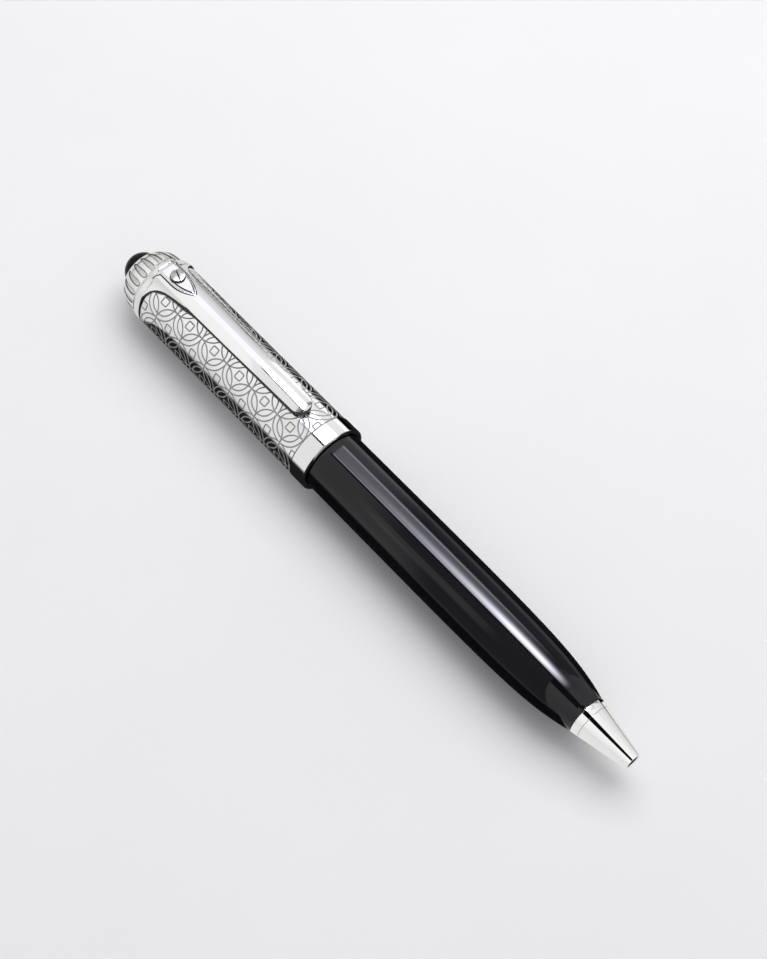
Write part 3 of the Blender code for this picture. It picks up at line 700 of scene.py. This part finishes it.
class Clip:
    """The clip as a surface over the pen: a collar ring, a flaring shoulder and a crowned blade."""

    def __init__(self):
        low, high = box_mm("clip")
        self.back, self.tip = low.x, high.x
        self.collar_front = extent("engraved_sleeve")[0] - 0.35
        self.collar_radius = 7.0
        self.top = high.z - AXIS_HEIGHT
        self.screw = sum(corner.x for corner in box_mm("clip_screw")) / 2
        self.head = self.back + 9.3
        self.plateau_back = self.back + 2.6
        self.grooves = [self.foot_line(), self.flame_line()]

    def half_width(self, x):
        width = self.tapered_width(x)
        end = self.tip - TIP_ROUND
        if x > end:
            width *= max(0, 1 - ((x - end) / TIP_ROUND) ** 2) ** 0.5
        return width

    def tapered_width(self, x):
        """Half the width of the blade, without the rounding of its tip."""
        share = min(1, max(0, (x - self.head) / (self.tip - self.head)))
        return BLADE_HALF_WIDTH - BLADE_TAPER * share ** 1.5

    def blade_top(self, x):
        b, t = self.back, self.tip
        return spline([(b, 8.15), (b + 0.25, 8.6), (b + 0.75, 9.0), (b + 1.8, 9.26), (b + 4, 9.3),
                       (b + 12, 9.3), (b + 20, 9.25), (t - 13, 9.1), (t - 6, 8.9), (t - 2.8, 8.8),
                       (t - 0.9, 8.72), (t - 0.35, 8.6), (t, 8.35)], x)

    def blade_bottom(self, x):
        b, t = self.back, self.tip
        return spline([(b, 7.2), (b + 9, 7.42), (b + 19, 7.7), (t - 13.6, 7.6), (t - 6, 7.25),
                       (t - 2.6, 7.15), (t - 1.2, 7.25), (t, 7.6)], x)

    def crowned(self, x, y):
        """Height of the blade's rounded top over the axis."""
        share = min(1.15, abs(y) / self.tapered_width(x))
        drop = 1.06 * (math.sqrt(1 + share * share) - 1) / (math.sqrt(2) - 1)
        return self.blade_top(x) - drop * min(1, 0.62 + 0.38 * (self.tip - x) / 20)

    def tapered(self, x, half, reach):
        """Half the width of a teardrop that starts at the screw and is reach long."""
        share = min(1, max(0, x - self.screw) / reach)
        return half * (1 - share ** 2.2)

    def foot_line(self):
        """The line at the foot of the plateau, which runs out in a notch at the collar."""
        notch = [(self.back + 1.55, 3.0), (self.back + 2.0, 2.5), (self.back + 2.6, FOOT_HALF)]
        return notch + self.teardrop(-2.4, 32, FOOT_HALF, FOOT_REACH)

    def flame_line(self):
        """The line that runs from the screw to the point of the plateau."""
        return self.teardrop(0.65, 17, FLAME_HALF, PLATEAU_REACH)

    def teardrop(self, start, count, half, reach):
        """A line along the edge of a teardrop, from start in front of the screw's middle."""
        stations = [self.screw + start + 0.25 * k for k in range(count)]
        return [(x, self.tapered(x, half, reach)) for x in stations]

    def groove_distance(self, x, y):
        """Distance from a place to the nearest groove, or 9 if it is far from them all."""
        best, y = 9.0, abs(y)
        if not (self.back + 1 < x < self.screw + 6 and y < 3.4):
            return best
        for path in self.grooves:
            for (x0, y0), (x1, y1) in zip(path, path[1:]):
                if x0 - 0.6 < x < x1 + 0.6:
                    run, rise = x1 - x0, y1 - y0
                    t = ((x - x0) * run + (y - y0) * rise) / (run * run + rise * rise)
                    t = min(1, max(0, t))
                    best = min(best, math.hypot(x - x0 - t * run, y - y0 - t * rise))
        return best

    def height(self, x, y):
        """Height of the clip's upper surface over the axis, without its grooves."""
        side = max(0, abs(y) - self.tapered(x, PLATEAU_HALF, PLATEAU_REACH))
        ahead = max(0, x - self.screw - PLATEAU_REACH)
        behind = max(0, self.plateau_back - x)
        flat = self.top - 0.02 - 1.3 * side - 1.2 * ahead - 0.42 * behind
        return soft_max(self.crowned(x, y), flat, 0.12)

    def shell(self, x, angle):
        """Radius of the collar and the shoulder."""
        collar = self.collar_radius - 0.28 * (1 - smoothstep(self.back, self.back + 0.5, x))
        swell = 1 - smoothstep(46, 80, math.degrees(abs(angle)))
        return collar + 0.56 * swell * (0.45 + 0.55 * smoothstep(self.back - 0.6, self.back + 4, x))

    def smooth_radius(self, x, angle):
        """Radius of the upper surface without its grooves. It runs on past the blade's sides."""
        shell = self.shell(x, angle)
        if abs(angle) > 0.75:
            return shell
        limit = self.half_width(x) if x < self.head + 2.5 else 9
        radius = 9.0
        for _ in range(14):
            y = radius * math.sin(abs(angle))
            z = self.height(x, min(y, limit)) - 2.2 * max(0, y - limit)
            radius = 0.5 * radius + 0.5 * z / math.cos(angle)
        if x < self.head + 2.5:
            radius = soft_max(radius, shell, 0.9)
        return radius

    def top_radius(self, x, angle):
        radius = self.smooth_radius(x, angle)
        if abs(angle) > 0.75:
            return radius
        groove = self.groove_distance(x, radius * math.sin(angle))
        return radius - GROOVE_DEPTH * max(0, 1 - groove / GROOVE_HALF_WIDTH)

    def finish_at(self, x, angle):
        """0 where polished, 1 (painted shade) in a groove or under the screw, 2 on the satin slope
        beside it.
        """
        y = self.top_radius(x, angle) * math.sin(angle)
        round_screw = math.hypot(x - self.screw, y) < SCREW_SEAT
        if round_screw or self.groove_distance(x, y) < 0.97 * GROOVE_HALF_WIDTH:
            return 1
        outer = self.tapered(x, FOOT_HALF, FOOT_REACH)
        inner = self.tapered(x, FLAME_HALF, PLATEAU_REACH)
        beside = self.screw - 2.2 < x < self.screw + FOOT_REACH and inner < abs(y) < outer
        return 2 if beside else 0

    def normal(self, x, angle, step=0.03):
        """The direction square to the upper surface at a place."""
        turn = step / UNROLL
        before, after = self.smooth_radius(x - step, angle), self.smooth_radius(x + step, angle)
        left, right = self.smooth_radius(x, angle - turn), self.smooth_radius(x, angle + turn)
        along = (after - before) / (2 * step)
        round_it = (right - left) / (2 * turn) / self.smooth_radius(x, angle)
        c, s = math.cos(angle), math.sin(angle)
        return Vector((-along, -s + round_it * c, c + round_it * s)).normalized()

    def under(self, x, angle):
        """The point of the lower surface under a place, straight down from the upper one."""
        if x < self.collar_front + 0.01:
            return polar(x, angle, COLLAR_BORE)
        _, y, top = polar(x, angle, self.top_radius(x, angle))
        inner = self.collar_radius + 0.12
        tube = math.sqrt(max(inner ** 2 - y ** 2, 0.01))
        mix = smoothstep(self.head + 1.5, self.head + 4, x)
        return x, y, min((1 - mix) * tube + mix * self.blade_bottom(x), top - 0.15)


clip = Clip()


def make_clip():
    half_turn = math.pi * UNROLL

    def blade_side(x):
        y = clip.half_width(x)
        return math.atan2(y, clip.height(x, y)) * UNROLL

    sides = []
    for k in range(11):
        x = clip.tip - TIP_ROUND * (1 - math.cos(math.pi / 2 * k / 10))
        sides.append((x, blade_side(x)))
    x = sides[-1][0]
    while x > clip.collar_front + SHOULDER_FLARE[0][0]:
        x -= 0.45 if x > clip.collar_front + 7 else 0.14
        flare = spline(SHOULDER_FLARE, max(x, clip.collar_front) - clip.collar_front)
        sides.append((max(x, clip.collar_front + 0.03),
                      max(blade_side(x), math.asin(min(0.9, flare / 7.5)) * UNROLL)))
    shoulder = sides[-1][1]
    steps = 30
    sides += [(clip.collar_front, shoulder + 0.1 + (half_turn - shoulder - 0.1) * k / steps)
              for k in range(steps + 1)]
    sides += [(clip.back + (clip.collar_front - clip.back) * k / 6, half_turn)
              for k in range(5, -1, -1)]
    back_steps = 2 * 66
    back = [(clip.back, half_turn * (1 - 2 * k / back_steps)) for k in range(1, back_steps)]
    outline = sides + back + [(x, -s) for x, s in sides[:0:-1]]

    def on_top(x, y):
        angle = math.asin(y / 9)
        for _ in range(8):
            angle = math.asin(y / clip.top_radius(x, angle))
        return (x, angle * UNROLL)

    def round_screw(radius, steps=40):
        turns = [math.tau * k / steps for k in range(steps)]
        return [on_top(clip.screw + radius * math.cos(a), radius * math.sin(a)) for a in turns]

    def beside(path, offset):
        """A path moved sideways, as far as the pen's middle."""
        moved = []
        for i, (x, y) in enumerate(path):
            (x0, y0), (x1, y1) = path[max(i - 1, 0)], path[min(i + 1, len(path) - 1)]
            along = math.hypot(x1 - x0, y1 - y0)
            place = (x - offset * (y1 - y0) / along, y + offset * (x1 - x0) / along)
            if place[1] < 0.04:
                break
            moved.append(place)
        return moved

    drawing = Drawing()
    drawing.line(outline, closed=True)
    for x in (clip.collar_front, clip.collar_front + 0.03):
        drawing.line([(x, -shoulder), (x, shoulder)])
    for path in clip.grooves:
        for offset in (-GROOVE_HALF_WIDTH, 0, GROOVE_HALF_WIDTH):
            side = beside(path, offset)
            drawing.line([on_top(x, y) for x, y in side]
                         + [on_top(x, -y) for x, y in reversed(side)])
    for radius in (SCREW_HOLE, SCREW_SEAT, SCREW_SEAT + 0.06):
        drawing.line(round_screw(radius), closed=True)

    def inside(x, s):
        """Whether a place on the drawing is within the clip's outline, but off the screw hole."""
        within = False
        for (x0, s0), (x1, s1) in zip(outline, outline[1:] + outline[:1]):
            if (s0 > s) != (s1 > s) and x < x0 + (x1 - x0) * (s - s0) / (s1 - s0):
                within = not within
        y = clip.top_radius(x, s / UNROLL) * math.sin(s / UNROLL)
        return within and math.hypot(x - clip.screw, y) > SCREW_HOLE * 0.98

    def off_groove(x, s, margin):
        y = clip.top_radius(x, s / UNROLL) * math.sin(s / UNROLL)
        return clip.groove_distance(x, y) > margin

    for i in range(int((clip.tip - clip.back) / 0.3) + 1):
        x = clip.back + 0.12 + 0.3 * i
        reach = half_turn if x < clip.collar_front else 6.5
        count = int(reach / 0.3)
        spots = [(x, 0.3 * j) for j in range(-count, count + 1)]
        drawing.dots([spot for spot in spots if inside(*spot) and inside(spot[0] + 0.09, spot[1])
                      and inside(spot[0], abs(spot[1]) + 0.12) and off_groove(*spot, 0.2)])

    flat, triangles = drawing.triangles(lambda middle: inside(middle[0], middle[1]))
    seam = sorted((x, i) for i, (x, s) in enumerate(flat) if abs(s + half_turn) < 1e-4)
    other = sorted((x, i) for i, (x, s) in enumerate(flat) if abs(s - half_turn) < 1e-4)
    weld = {b: a for (_, a), (_, b) in zip(seam, other)}
    triangles = [tuple(weld.get(i, i) for i in face) for face in triangles]
    middles = [[sum(flat[i][axis] for i in face) / 3 for axis in (0, 1)] for face in triangles]
    face_finish = [clip.finish_at(x, s / UNROLL) for x, s in middles]
    count = len(flat)
    points = [polar(x, s / UNROLL, clip.top_radius(x, s / UNROLL)) for x, s in flat]
    points += [clip.under(x, s / UNROLL) for x, s in flat]
    faces = [face[::-1] for face in triangles]
    directed = {(a, b) for face in faces for a, b in zip(face, face[1:] + face[:1])}
    walls = [(b, a, a + count, b + count) for a, b in directed if (b, a) not in directed]
    # painted shade: the underside and the walls take the near-black finish
    face_finish += [1] * (len(faces) + len(walls))
    faces += [tuple(i + count for i in face) for face in triangles] + walls
    used = sorted({i for face in faces for i in face})
    place = {old: new for new, old in enumerate(used)}
    square = {place[i]: clip.normal(x, s / UNROLL) for i, (x, s) in enumerate(flat) if i in place}
    polished = [i for i, kind in enumerate(face_finish) if kind != 1]
    add_piece("clip_spring", [points[i] for i in used],
              [tuple(place[i] for i in face) for face in faces],
              "cap_assembly", "polished_silver", [BRIGHT_SILVER, SHADED, SATIN], "clip",
              face_finish=face_finish, crease=38,
              normals=(polished, lambda vertex: square[vertex.index]))


def make_clip_screw():
    """The slotted screw: a domed head, cut across, on a plain shank."""
    low, high = box_mm("clip_screw")
    radius = (high.y - low.y) / 2
    top = high.z - AXIS_HEIGHT
    foot = low.z - AXIS_HEIGHT
    seat = top - 0.68
    slot_half, slot_depth, slot_turn = 0.14, 0.36, math.radians(-20)
    steps, rings = 64, 12

    def head_height(r):
        return top - 0.17 * (r / radius) ** 2

    drawing = Drawing()
    for k in range(1, rings + 1):
        r = radius * (k / rings) ** 0.8
        drawing.line([(r * math.cos(math.tau * i / steps), r * math.sin(math.tau * i / steps))
                      for i in range(steps)], closed=True)
    drawing.dots([(0.0, 0.0)])
    edges = [-slot_half - 0.02, -slot_half, slot_half, slot_half + 0.02]
    for v in edges:
        run = math.sqrt(radius ** 2 - v ** 2) - 1e-4
        drawing.line([(-run, v), (run, v)])
    flat, triangles = drawing.triangles(lambda middle: middle.length < radius)
    tops = [top - slot_depth if abs(y) < slot_half + 0.005 else head_height(math.hypot(x, y))
            for x, y in flat]
    cos_t, sin_t = math.cos(slot_turn), math.sin(slot_turn)

    def placed(x, y, z):
        return (clip.screw + x * cos_t - y * sin_t, x * sin_t + y * cos_t, z)

    points = [placed(x, y, z) for (x, y), z in zip(flat, tops)]
    faces = list(triangles)
    directed = {(a, b) for face in faces for a, b in zip(face, face[1:] + face[:1])}
    rim = [(a, b) for a, b in directed if (b, a) not in directed]
    last = {i: i for edge in rim for i in edge}
    shank = SCREW_HOLE - 0.08
    for r, z in ((radius, seat + 0.12), (radius - 0.06, seat), (shank, seat), (shank, foot)):
        ring = {}
        for start in sorted(last):
            x, y = flat[start]
            length = math.hypot(x, y)
            ring[start] = len(points)
            points.append(placed(x * r / length, y * r / length, z))
        faces += [(last[b], last[a], ring[a], ring[b]) for a, b in rim]
        last = ring
    centre = len(points)
    points.append(placed(0, 0, foot))
    faces += [(last[b], last[a], centre) for a, b in rim]
    add_piece("clip_screw_slotted", points, faces, "cap_assembly", "polished_silver",
              [SHADED_SCREW_METAL], "clip_screw", crease=30)


make_clip()
make_clip_screw()


# ---------------------------------------------------------------- band, barrel and nose

SPIGOT_BORE = 3.5
RING_REACH = 0.24


def make_band():
    back, front, radius = extent("centre_band")
    lip_bore, lip_back = 5.95, front - 0.4
    corners = [
        (front, 6.72, 0.06), (front - 0.22, radius, 0.1), (back + 0.1, radius - 0.01, 0.08),
        (back, 6.96, 0.04), (back, LINER_BORE, 0), (lip_back, LINER_BORE, 0),
        (lip_back, lip_bore, 0.03), (front, lip_bore, 0.03)]
    turned_piece("centre_band_polished", corners, "cap_assembly", "polished_silver", SILVER,
                 "centre_band")


def make_barrel():
    back, front, radius = extent("barrel")
    bore = 5.35
    front_radius, ease = 3.85, 0.5
    straight = back + 24.4

    def outside(x):
        u = max(0, (x - straight) / (front - straight))
        return radius - ease * u ** 2 - (radius - front_radius - ease) * u ** 6

    corners = [(back, radius - 0.14, 0.03), (back + 0.14, radius - 0.02, 0.08)]
    first, last, count = back + 0.7, front - 0.12, 90
    for k in range(1, count):
        x = first + (last - first) * math.sin(math.pi / 2 * k / count)
        corners.append((x, outside(x) - 0.01, 0))
    corners += [(front - 0.02, front_radius - 0.06, 0.05), (front, front_radius - 0.2, 0.04),
                (front, SPIGOT_BORE, 0.05), (front - 6, SPIGOT_BORE, 0.2),
                (front - 17, bore, 0.5), (back, bore, 0)]
    turned_piece("barrel_lacquered", corners, "barrel_assembly", "black_lacquer", LACQUER,
                 "barrel", crease=40)


def make_nose():
    back, front, radius = extent("nose_ring")
    spigot_back, tip, base = extent("nose_cone")
    front += RING_REACH
    corners = [(front, base, 0.01), (back + 0.08, radius + 0.06, 0.06),
               (back, radius - 0.06, 0.03), (back, SPIGOT_BORE, 0.03), (front, SPIGOT_BORE, 0.03)]
    turned_piece("nose_trim_ring", corners, "barrel_assembly", "polished_silver", BRIGHT_SILVER,
                 "nose_ring")

    mouth, lip, bore, cone_back = 1.72, 1.4, 1.25, tip - 9.65
    spring_bore, refill_bore, spring_seat = 2.15, 3.05, tip - 4.45
    corners = [(tip, mouth - 0.02, 0.06), (cone_back, base - 0.01, 0.01),
               (cone_back, 3.3, 0.05), (cone_back - 0.9, 3.3, 0.04)]
    thread_front, thread_back = cone_back - 1.0, spigot_back + 0.5
    turns, root, crest = 12, 3.2, 3.4
    pitch = (thread_front - thread_back) / turns
    for k in range(turns):
        x = thread_front - pitch * k
        corners += [(x, root, 0.03), (x - pitch * 0.35, crest, 0.03),
                    (x - pitch * 0.6, crest, 0.03)]
    corners += [
        (thread_back, root, 0.03), (spigot_back, 3.15, 0.1), (spigot_back, refill_bore, 0.03),
        (tip - 9.2, refill_bore, 0.05), (tip - 8.3, spring_bore, 0.05),
        (spring_seat, spring_bore, 0.1), (spring_seat, bore, 0.08), (tip - 0.6, bore, 0.05),
        (tip - 0.22, lip, 0.02), (tip, mouth - 0.2, 0.02)]
    # painted shade: the bore behind the mouth is near-black
    turned_piece("nose_cone_polished", corners, "nose", "polished_silver", BRIGHT_SILVER,
                 "nose_cone", in_painted_shade=lambda x, r: r < lip and x > tip - 4.5)


make_band()
make_barrel()
make_nose()


# ---------------------------------------------------------------- the refill's visible front

def make_refill_front():
    low, high, radius = extent("refill_nose")
    shoulder, groove, neck, bore = high - 7.2, 2.5, 1.2, 0.55
    corners = [
        (high, neck, 0.08), (shoulder, neck, 0.15), (shoulder, 2.42, 0.08),
        (shoulder - 0.5, radius, 0.15), (shoulder - 1.95, radius, 0.05),
        (shoulder - 1.95, groove, 0.05), (low, groove, 0.1), (low, bore, 0.05),
        (high - 4.7, bore, 0), (high - 4.7, 0.75, 0), (high, 0.75, 0.05)]
    turned_piece("refill_nose_moulded", corners, "refill", "white_acetal", ACETAL, "refill_nose",
                 SMALL_ROUND)

    low, high, radius = extent("refill_tip")
    base, stem, bore, socket = high - 3.35, 0.7, 0.2, 0.39
    corners = [
        (high, 0.47, 0.04), (high - 0.9, 0.6, 0.1), (high - 1.0, 0.66, 0.05), (base, radius, 0.2),
        (base - 1.6, radius, 0.05), (base - 1.6, stem, 0.02), (low, stem, 0.02), (low, bore, 0),
        (high - 0.7, bore, 0), (high - 0.5, socket, 0.05), (high, socket, 0.02)]
    turned_piece("refill_tip_turned", corners, "refill", "steel", STEEL, "refill_tip", SMALL_ROUND)

    low, high, radius = extent("refill_ball")
    middle = (low + high) / 2
    arc = [math.pi * k / 20 for k in range(21)]
    corners = [(middle + radius * math.cos(a), radius * math.sin(a), 0) for a in arc]
    corners[0], corners[-1] = (high, 0, 0), (low, 0, 0)
    turned_piece("writing_ball", corners, "refill", "carbide", CARBIDE, "refill_ball", 32)


def make_spring():
    """The return spring as a coil with closed ends."""
    low, high = box_mm("return_spring")
    wire = 0.2
    radius = (high.y - low.y) / 2 - wire
    turns, per_turn, section = 7, 40, 12
    count = turns * per_turn
    run = high.x - low.x - 2 * wire
    points, faces = [], []
    for i in range(count + 1):
        share = i / count
        angle = math.tau * turns * share
        x = low.x + wire + run * (share - 0.6 * math.sin(math.tau * share) / math.tau)
        for k in range(section):
            a = math.tau * k / section
            points.append(polar(x + wire * math.sin(a), angle, radius + wire * math.cos(a)))
    for i in range(count):
        for k in range(section):
            a, b = i * section + k, i * section + (k + 1) % section
            faces.append((a, b, b + section, a + section))
    faces += [tuple(range(section))[::-1], tuple(count * section + k for k in range(section))]
    spring = add_piece("return_spring_coil", points, faces, "refill", "steel", [STEEL],
                       "return_spring", crease=50, weighted=False)
    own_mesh(spring)


make_refill_front()
make_spring()


# ---------------------------------------------------------------- camera

AIM = Vector((-0.02, 4.37, 7.38)) * MM
DISTANCE = 353.7 * MM
AZIMUTH, ELEVATION, ROLL = (math.radians(angle) for angle in (43.46, 58.6, 5.87))


def make_camera():
    data = bpy.data.cameras.new("camera")
    data.sensor_width = 36
    data.lens = 73.2
    data.clip_start, data.clip_end = 0.01, 20
    camera = bpy.data.objects.new("camera", data)
    bpy.context.scene.collection.objects.link(camera)
    turn = (Matrix.Rotation(AZIMUTH, 4, "Z") @ Matrix.Rotation(math.pi / 2 - ELEVATION, 4, "X")
            @ Matrix.Rotation(ROLL, 4, "Z"))
    camera.matrix_world = Matrix.Translation(AIM) @ turn @ Matrix.Translation((0, 0, DISTANCE))
    bpy.context.scene.camera = camera


make_camera()


# ---------------------------------------------------------------- studio

def glow(name, colour):
    """A light whose strength is the mesh's own strength attribute."""
    made = bpy.data.materials.new(name)
    made.use_nodes = True
    tree = made.node_tree
    tree.nodes.clear()
    strength = wired(tree, "Attribute", "Fac", settings={"attribute_name": "strength"})
    light = wired(tree, "Emission", "Emission", Color=(*colour, 1), Strength=strength)
    wired(tree, "OutputMaterial", None, Surface=light)
    return made


def staged(name, points, faces, material):
    mesh = bpy.data.meshes.new(name)
    mesh.from_pydata(points, [], faces)
    mesh.materials.append(material)
    made = bpy.data.objects.new(name, mesh)
    bpy.context.scene.collection.objects.link(made)
    return made


def reflector(name, points, faces, strengths, colour):
    """A glowing card that only reflections show."""
    card = staged(name, points, faces, glow(name, colour))
    card.data.attributes.new("strength", "FLOAT", "POINT").data.foreach_set("value", strengths)
    card.visible_camera = card.visible_diffuse = card.visible_shadow = False


def bowed(name, start, end, back, front, strength_at, colour, columns=1, rows=12):
    """A reflector bowed over the pen, between two angles from the top and two stations."""
    points, strengths = [], []
    for i in range(columns + 1):
        x = back + (front - back) * i / columns
        for k in range(rows + 1):
            angle = start + (end - start) * k / rows
            a = math.radians(angle)
            points.append((x, -BOW * math.sin(a), AXIS_HEIGHT * MM + BOW * math.cos(a)))
            strengths.append(strength_at(x, angle))
    faces = [(i * (rows + 1) + k, i * (rows + 1) + k + 1, (i + 1) * (rows + 1) + k + 1,
              (i + 1) * (rows + 1) + k) for i in range(columns) for k in range(rows)]
    reflector(name, points, faces, strengths, colour)


def table_card(name, outline, strength):
    """A reflector just over the floor, which lights the outline of what is over it."""
    points = [(x, y, 0.0004) for x, y in outline]
    reflector(name, points, [tuple(range(len(points)))], [strength] * len(points), NEUTRAL)


BLUISH, NEUTRAL = (0.88, 0.88, 1.0), (1.0, 1.0, 1.0)
BOW = 0.6
NEAR_EDGE, FAR_EDGE = 7.5, -41.5
PANEL_END, SIDE_END = 13, 110
BAND_REFLECTION = -0.267
# How bright the room is in reflections, by the height of the direction, and how much brighter it
# is on the camera's side.
ROOM_STOPS = [(-0.2, 0.012), (-0.09, 0.05), (0, 0.55), (0.2, 0.7), (0.6, 0.82), (1.0, 0.95)]
NEAR_LIFT = 0.42


def softbox_strength(x, angle):
    """A dim panel with brighter rims, and a hot strip along its near side towards the nose."""
    if x < BAND_REFLECTION:
        return 1.15
    rim = max(smoothstep(2.5, 4, angle), smoothstep(-33, -35, angle))
    panel = (2.6 + 2.6 * rim) * (1 - smoothstep(-0.2, 0.02, x))
    rise = min(1, max(0, (x + 0.265) / 0.175)) ** 2
    strip = rise * (1 - smoothstep(-0.02, 0.135, x)) * math.exp(-((angle + 4.5) / 10.5) ** 2)
    return panel + 37 * strip + 0.3 + 0.5 * smoothstep(0.02, 0.08, x)


def near_strength(x, angle):
    """The near side of the room: grey, with a lighter stripe over the barrel's back half."""
    start = -0.235 + 0.03 * smoothstep(50, 65, angle)
    dim = 0.8 - 0.55 * smoothstep(start, start + 0.045, x)
    stripe = smoothstep(38, 44, angle) * (1 - smoothstep(60, 68, angle))
    return dim + 0.5 * stripe * smoothstep(-0.235, -0.2, x) * (1 - smoothstep(-0.14, -0.08, x))


def far_strength(x, angle):
    """The far side of the room: grey, with a lighter stripe low down."""
    dim = 0.85 - 0.6 * smoothstep(-0.235, -0.19, x)
    low = smoothstep(-88, -92, angle)
    stripe = smoothstep(-72, -76, angle) * (1 - low)
    return (dim + 0.3 * stripe) * (1 - low)


def make_studio():
    world = bpy.data.worlds.new("studio")
    bpy.context.scene.world = world
    world.use_nodes = True
    tree = world.node_tree
    tree.nodes.clear()
    split = tree.nodes.new("ShaderNodeSeparateXYZ")
    tree.links.new(wired(tree, "TexCoord", "Generated"), split.inputs["Vector"])
    towards = wired(tree, "Math", "Value", split.outputs["Y"], 0,
                    settings={"operation": "MINIMUM"})
    lifted = wired(tree, "Math", "Value", towards, -NEAR_LIFT, split.outputs["Z"],
                   settings={"operation": "MULTIPLY_ADD"})
    ramp = tree.nodes.new("ShaderNodeValToRGB")
    low, high = ROOM_STOPS[0][0], ROOM_STOPS[-1][0]
    for _ in ROOM_STOPS[2:]:
        ramp.color_ramp.elements.new(0.5)
    for element, (place, value) in zip(ramp.color_ramp.elements, ROOM_STOPS):
        element.position = (place - low) / (high - low)
        element.color = (value, value, value, 1)
    tree.links.new(ranged(tree, lifted, 0, 1, (low, high)), ramp.inputs["Fac"])
    reflected = wired(tree, "Background", "Background", Color=ramp.outputs["Color"])
    room = wired(tree, "Background", "Background", Color=(0.86, 0.86, 0.88, 1), Strength=0.55)
    choice = wired(tree, "MixShader", "Shader", wired(tree, "LightPath", "Is Glossy Ray"), room,
                   reflected)
    wired(tree, "OutputWorld", None, Surface=choice)

    def black(x, angle):
        return 0.0

    bowed("softbox", FAR_EDGE, NEAR_EDGE, -0.45, 0.14, softbox_strength, BLUISH, 118, 49)
    bowed("softbox_frame", NEAR_EDGE, PANEL_END, -0.283, 0.06, black, NEUTRAL)
    bowed("flag", 7, 31, 0.06, 0.25, black, NEUTRAL)
    bowed("nose_flag", 0, 20, 0.25, 0.5, black, NEUTRAL)
    bowed("near_panel", PANEL_END, SIDE_END, -0.3, 0.06, near_strength, NEUTRAL, 72, 48)
    bowed("far_panel", -SIDE_END, FAR_EDGE, -0.3, 0.06, far_strength, NEUTRAL, 72, 34)
    table_card("nose_card", [(0.0565, -0.09), (0.14, -0.09), (0.14, 0.07), (0.0555, 0.07)], 0.8)
    table_card("finial_card", [(-0.14, -0.09), (-0.0593, -0.09), (-0.0593, -0.0045),
                               (-0.0635, 0.0108), (-0.0635, 0.07), (-0.14, 0.07)], 0.7)

    lamp_data = bpy.data.lights.new("overhead", "AREA")
    lamp_data.shape = "RECTANGLE"
    lamp_data.size, lamp_data.size_y = 0.7, 0.6
    lamp_data.energy = 3.4
    lamp = bpy.data.objects.new("overhead", lamp_data)
    bpy.context.scene.collection.objects.link(lamp)
    lamp.location = (-0.12, 0.25, 0.6)
    lamp.rotation_euler = (-lamp.location).to_track_quat("-Z", "Y").to_euler()
    lamp.visible_glossy = False

    paper = finish("paper", [(0.86, 0.86, 0.87), (0.84, 0.84, 0.85)], 0, (0.6, 0.75), 60, 0.5,
                   (1, 1, 1), 0.01, Specular_IOR_Level=0.0)
    half = 3.0
    floor = staged("floor", [(-half, -half, 0), (half, -half, 0), (half, half, 0),
                             (-half, half, 0)], [(0, 1, 2, 3)], paper)
    floor.visible_glossy = False


make_studio()
bpy.context.scene.view_settings.view_transform = "Standard"
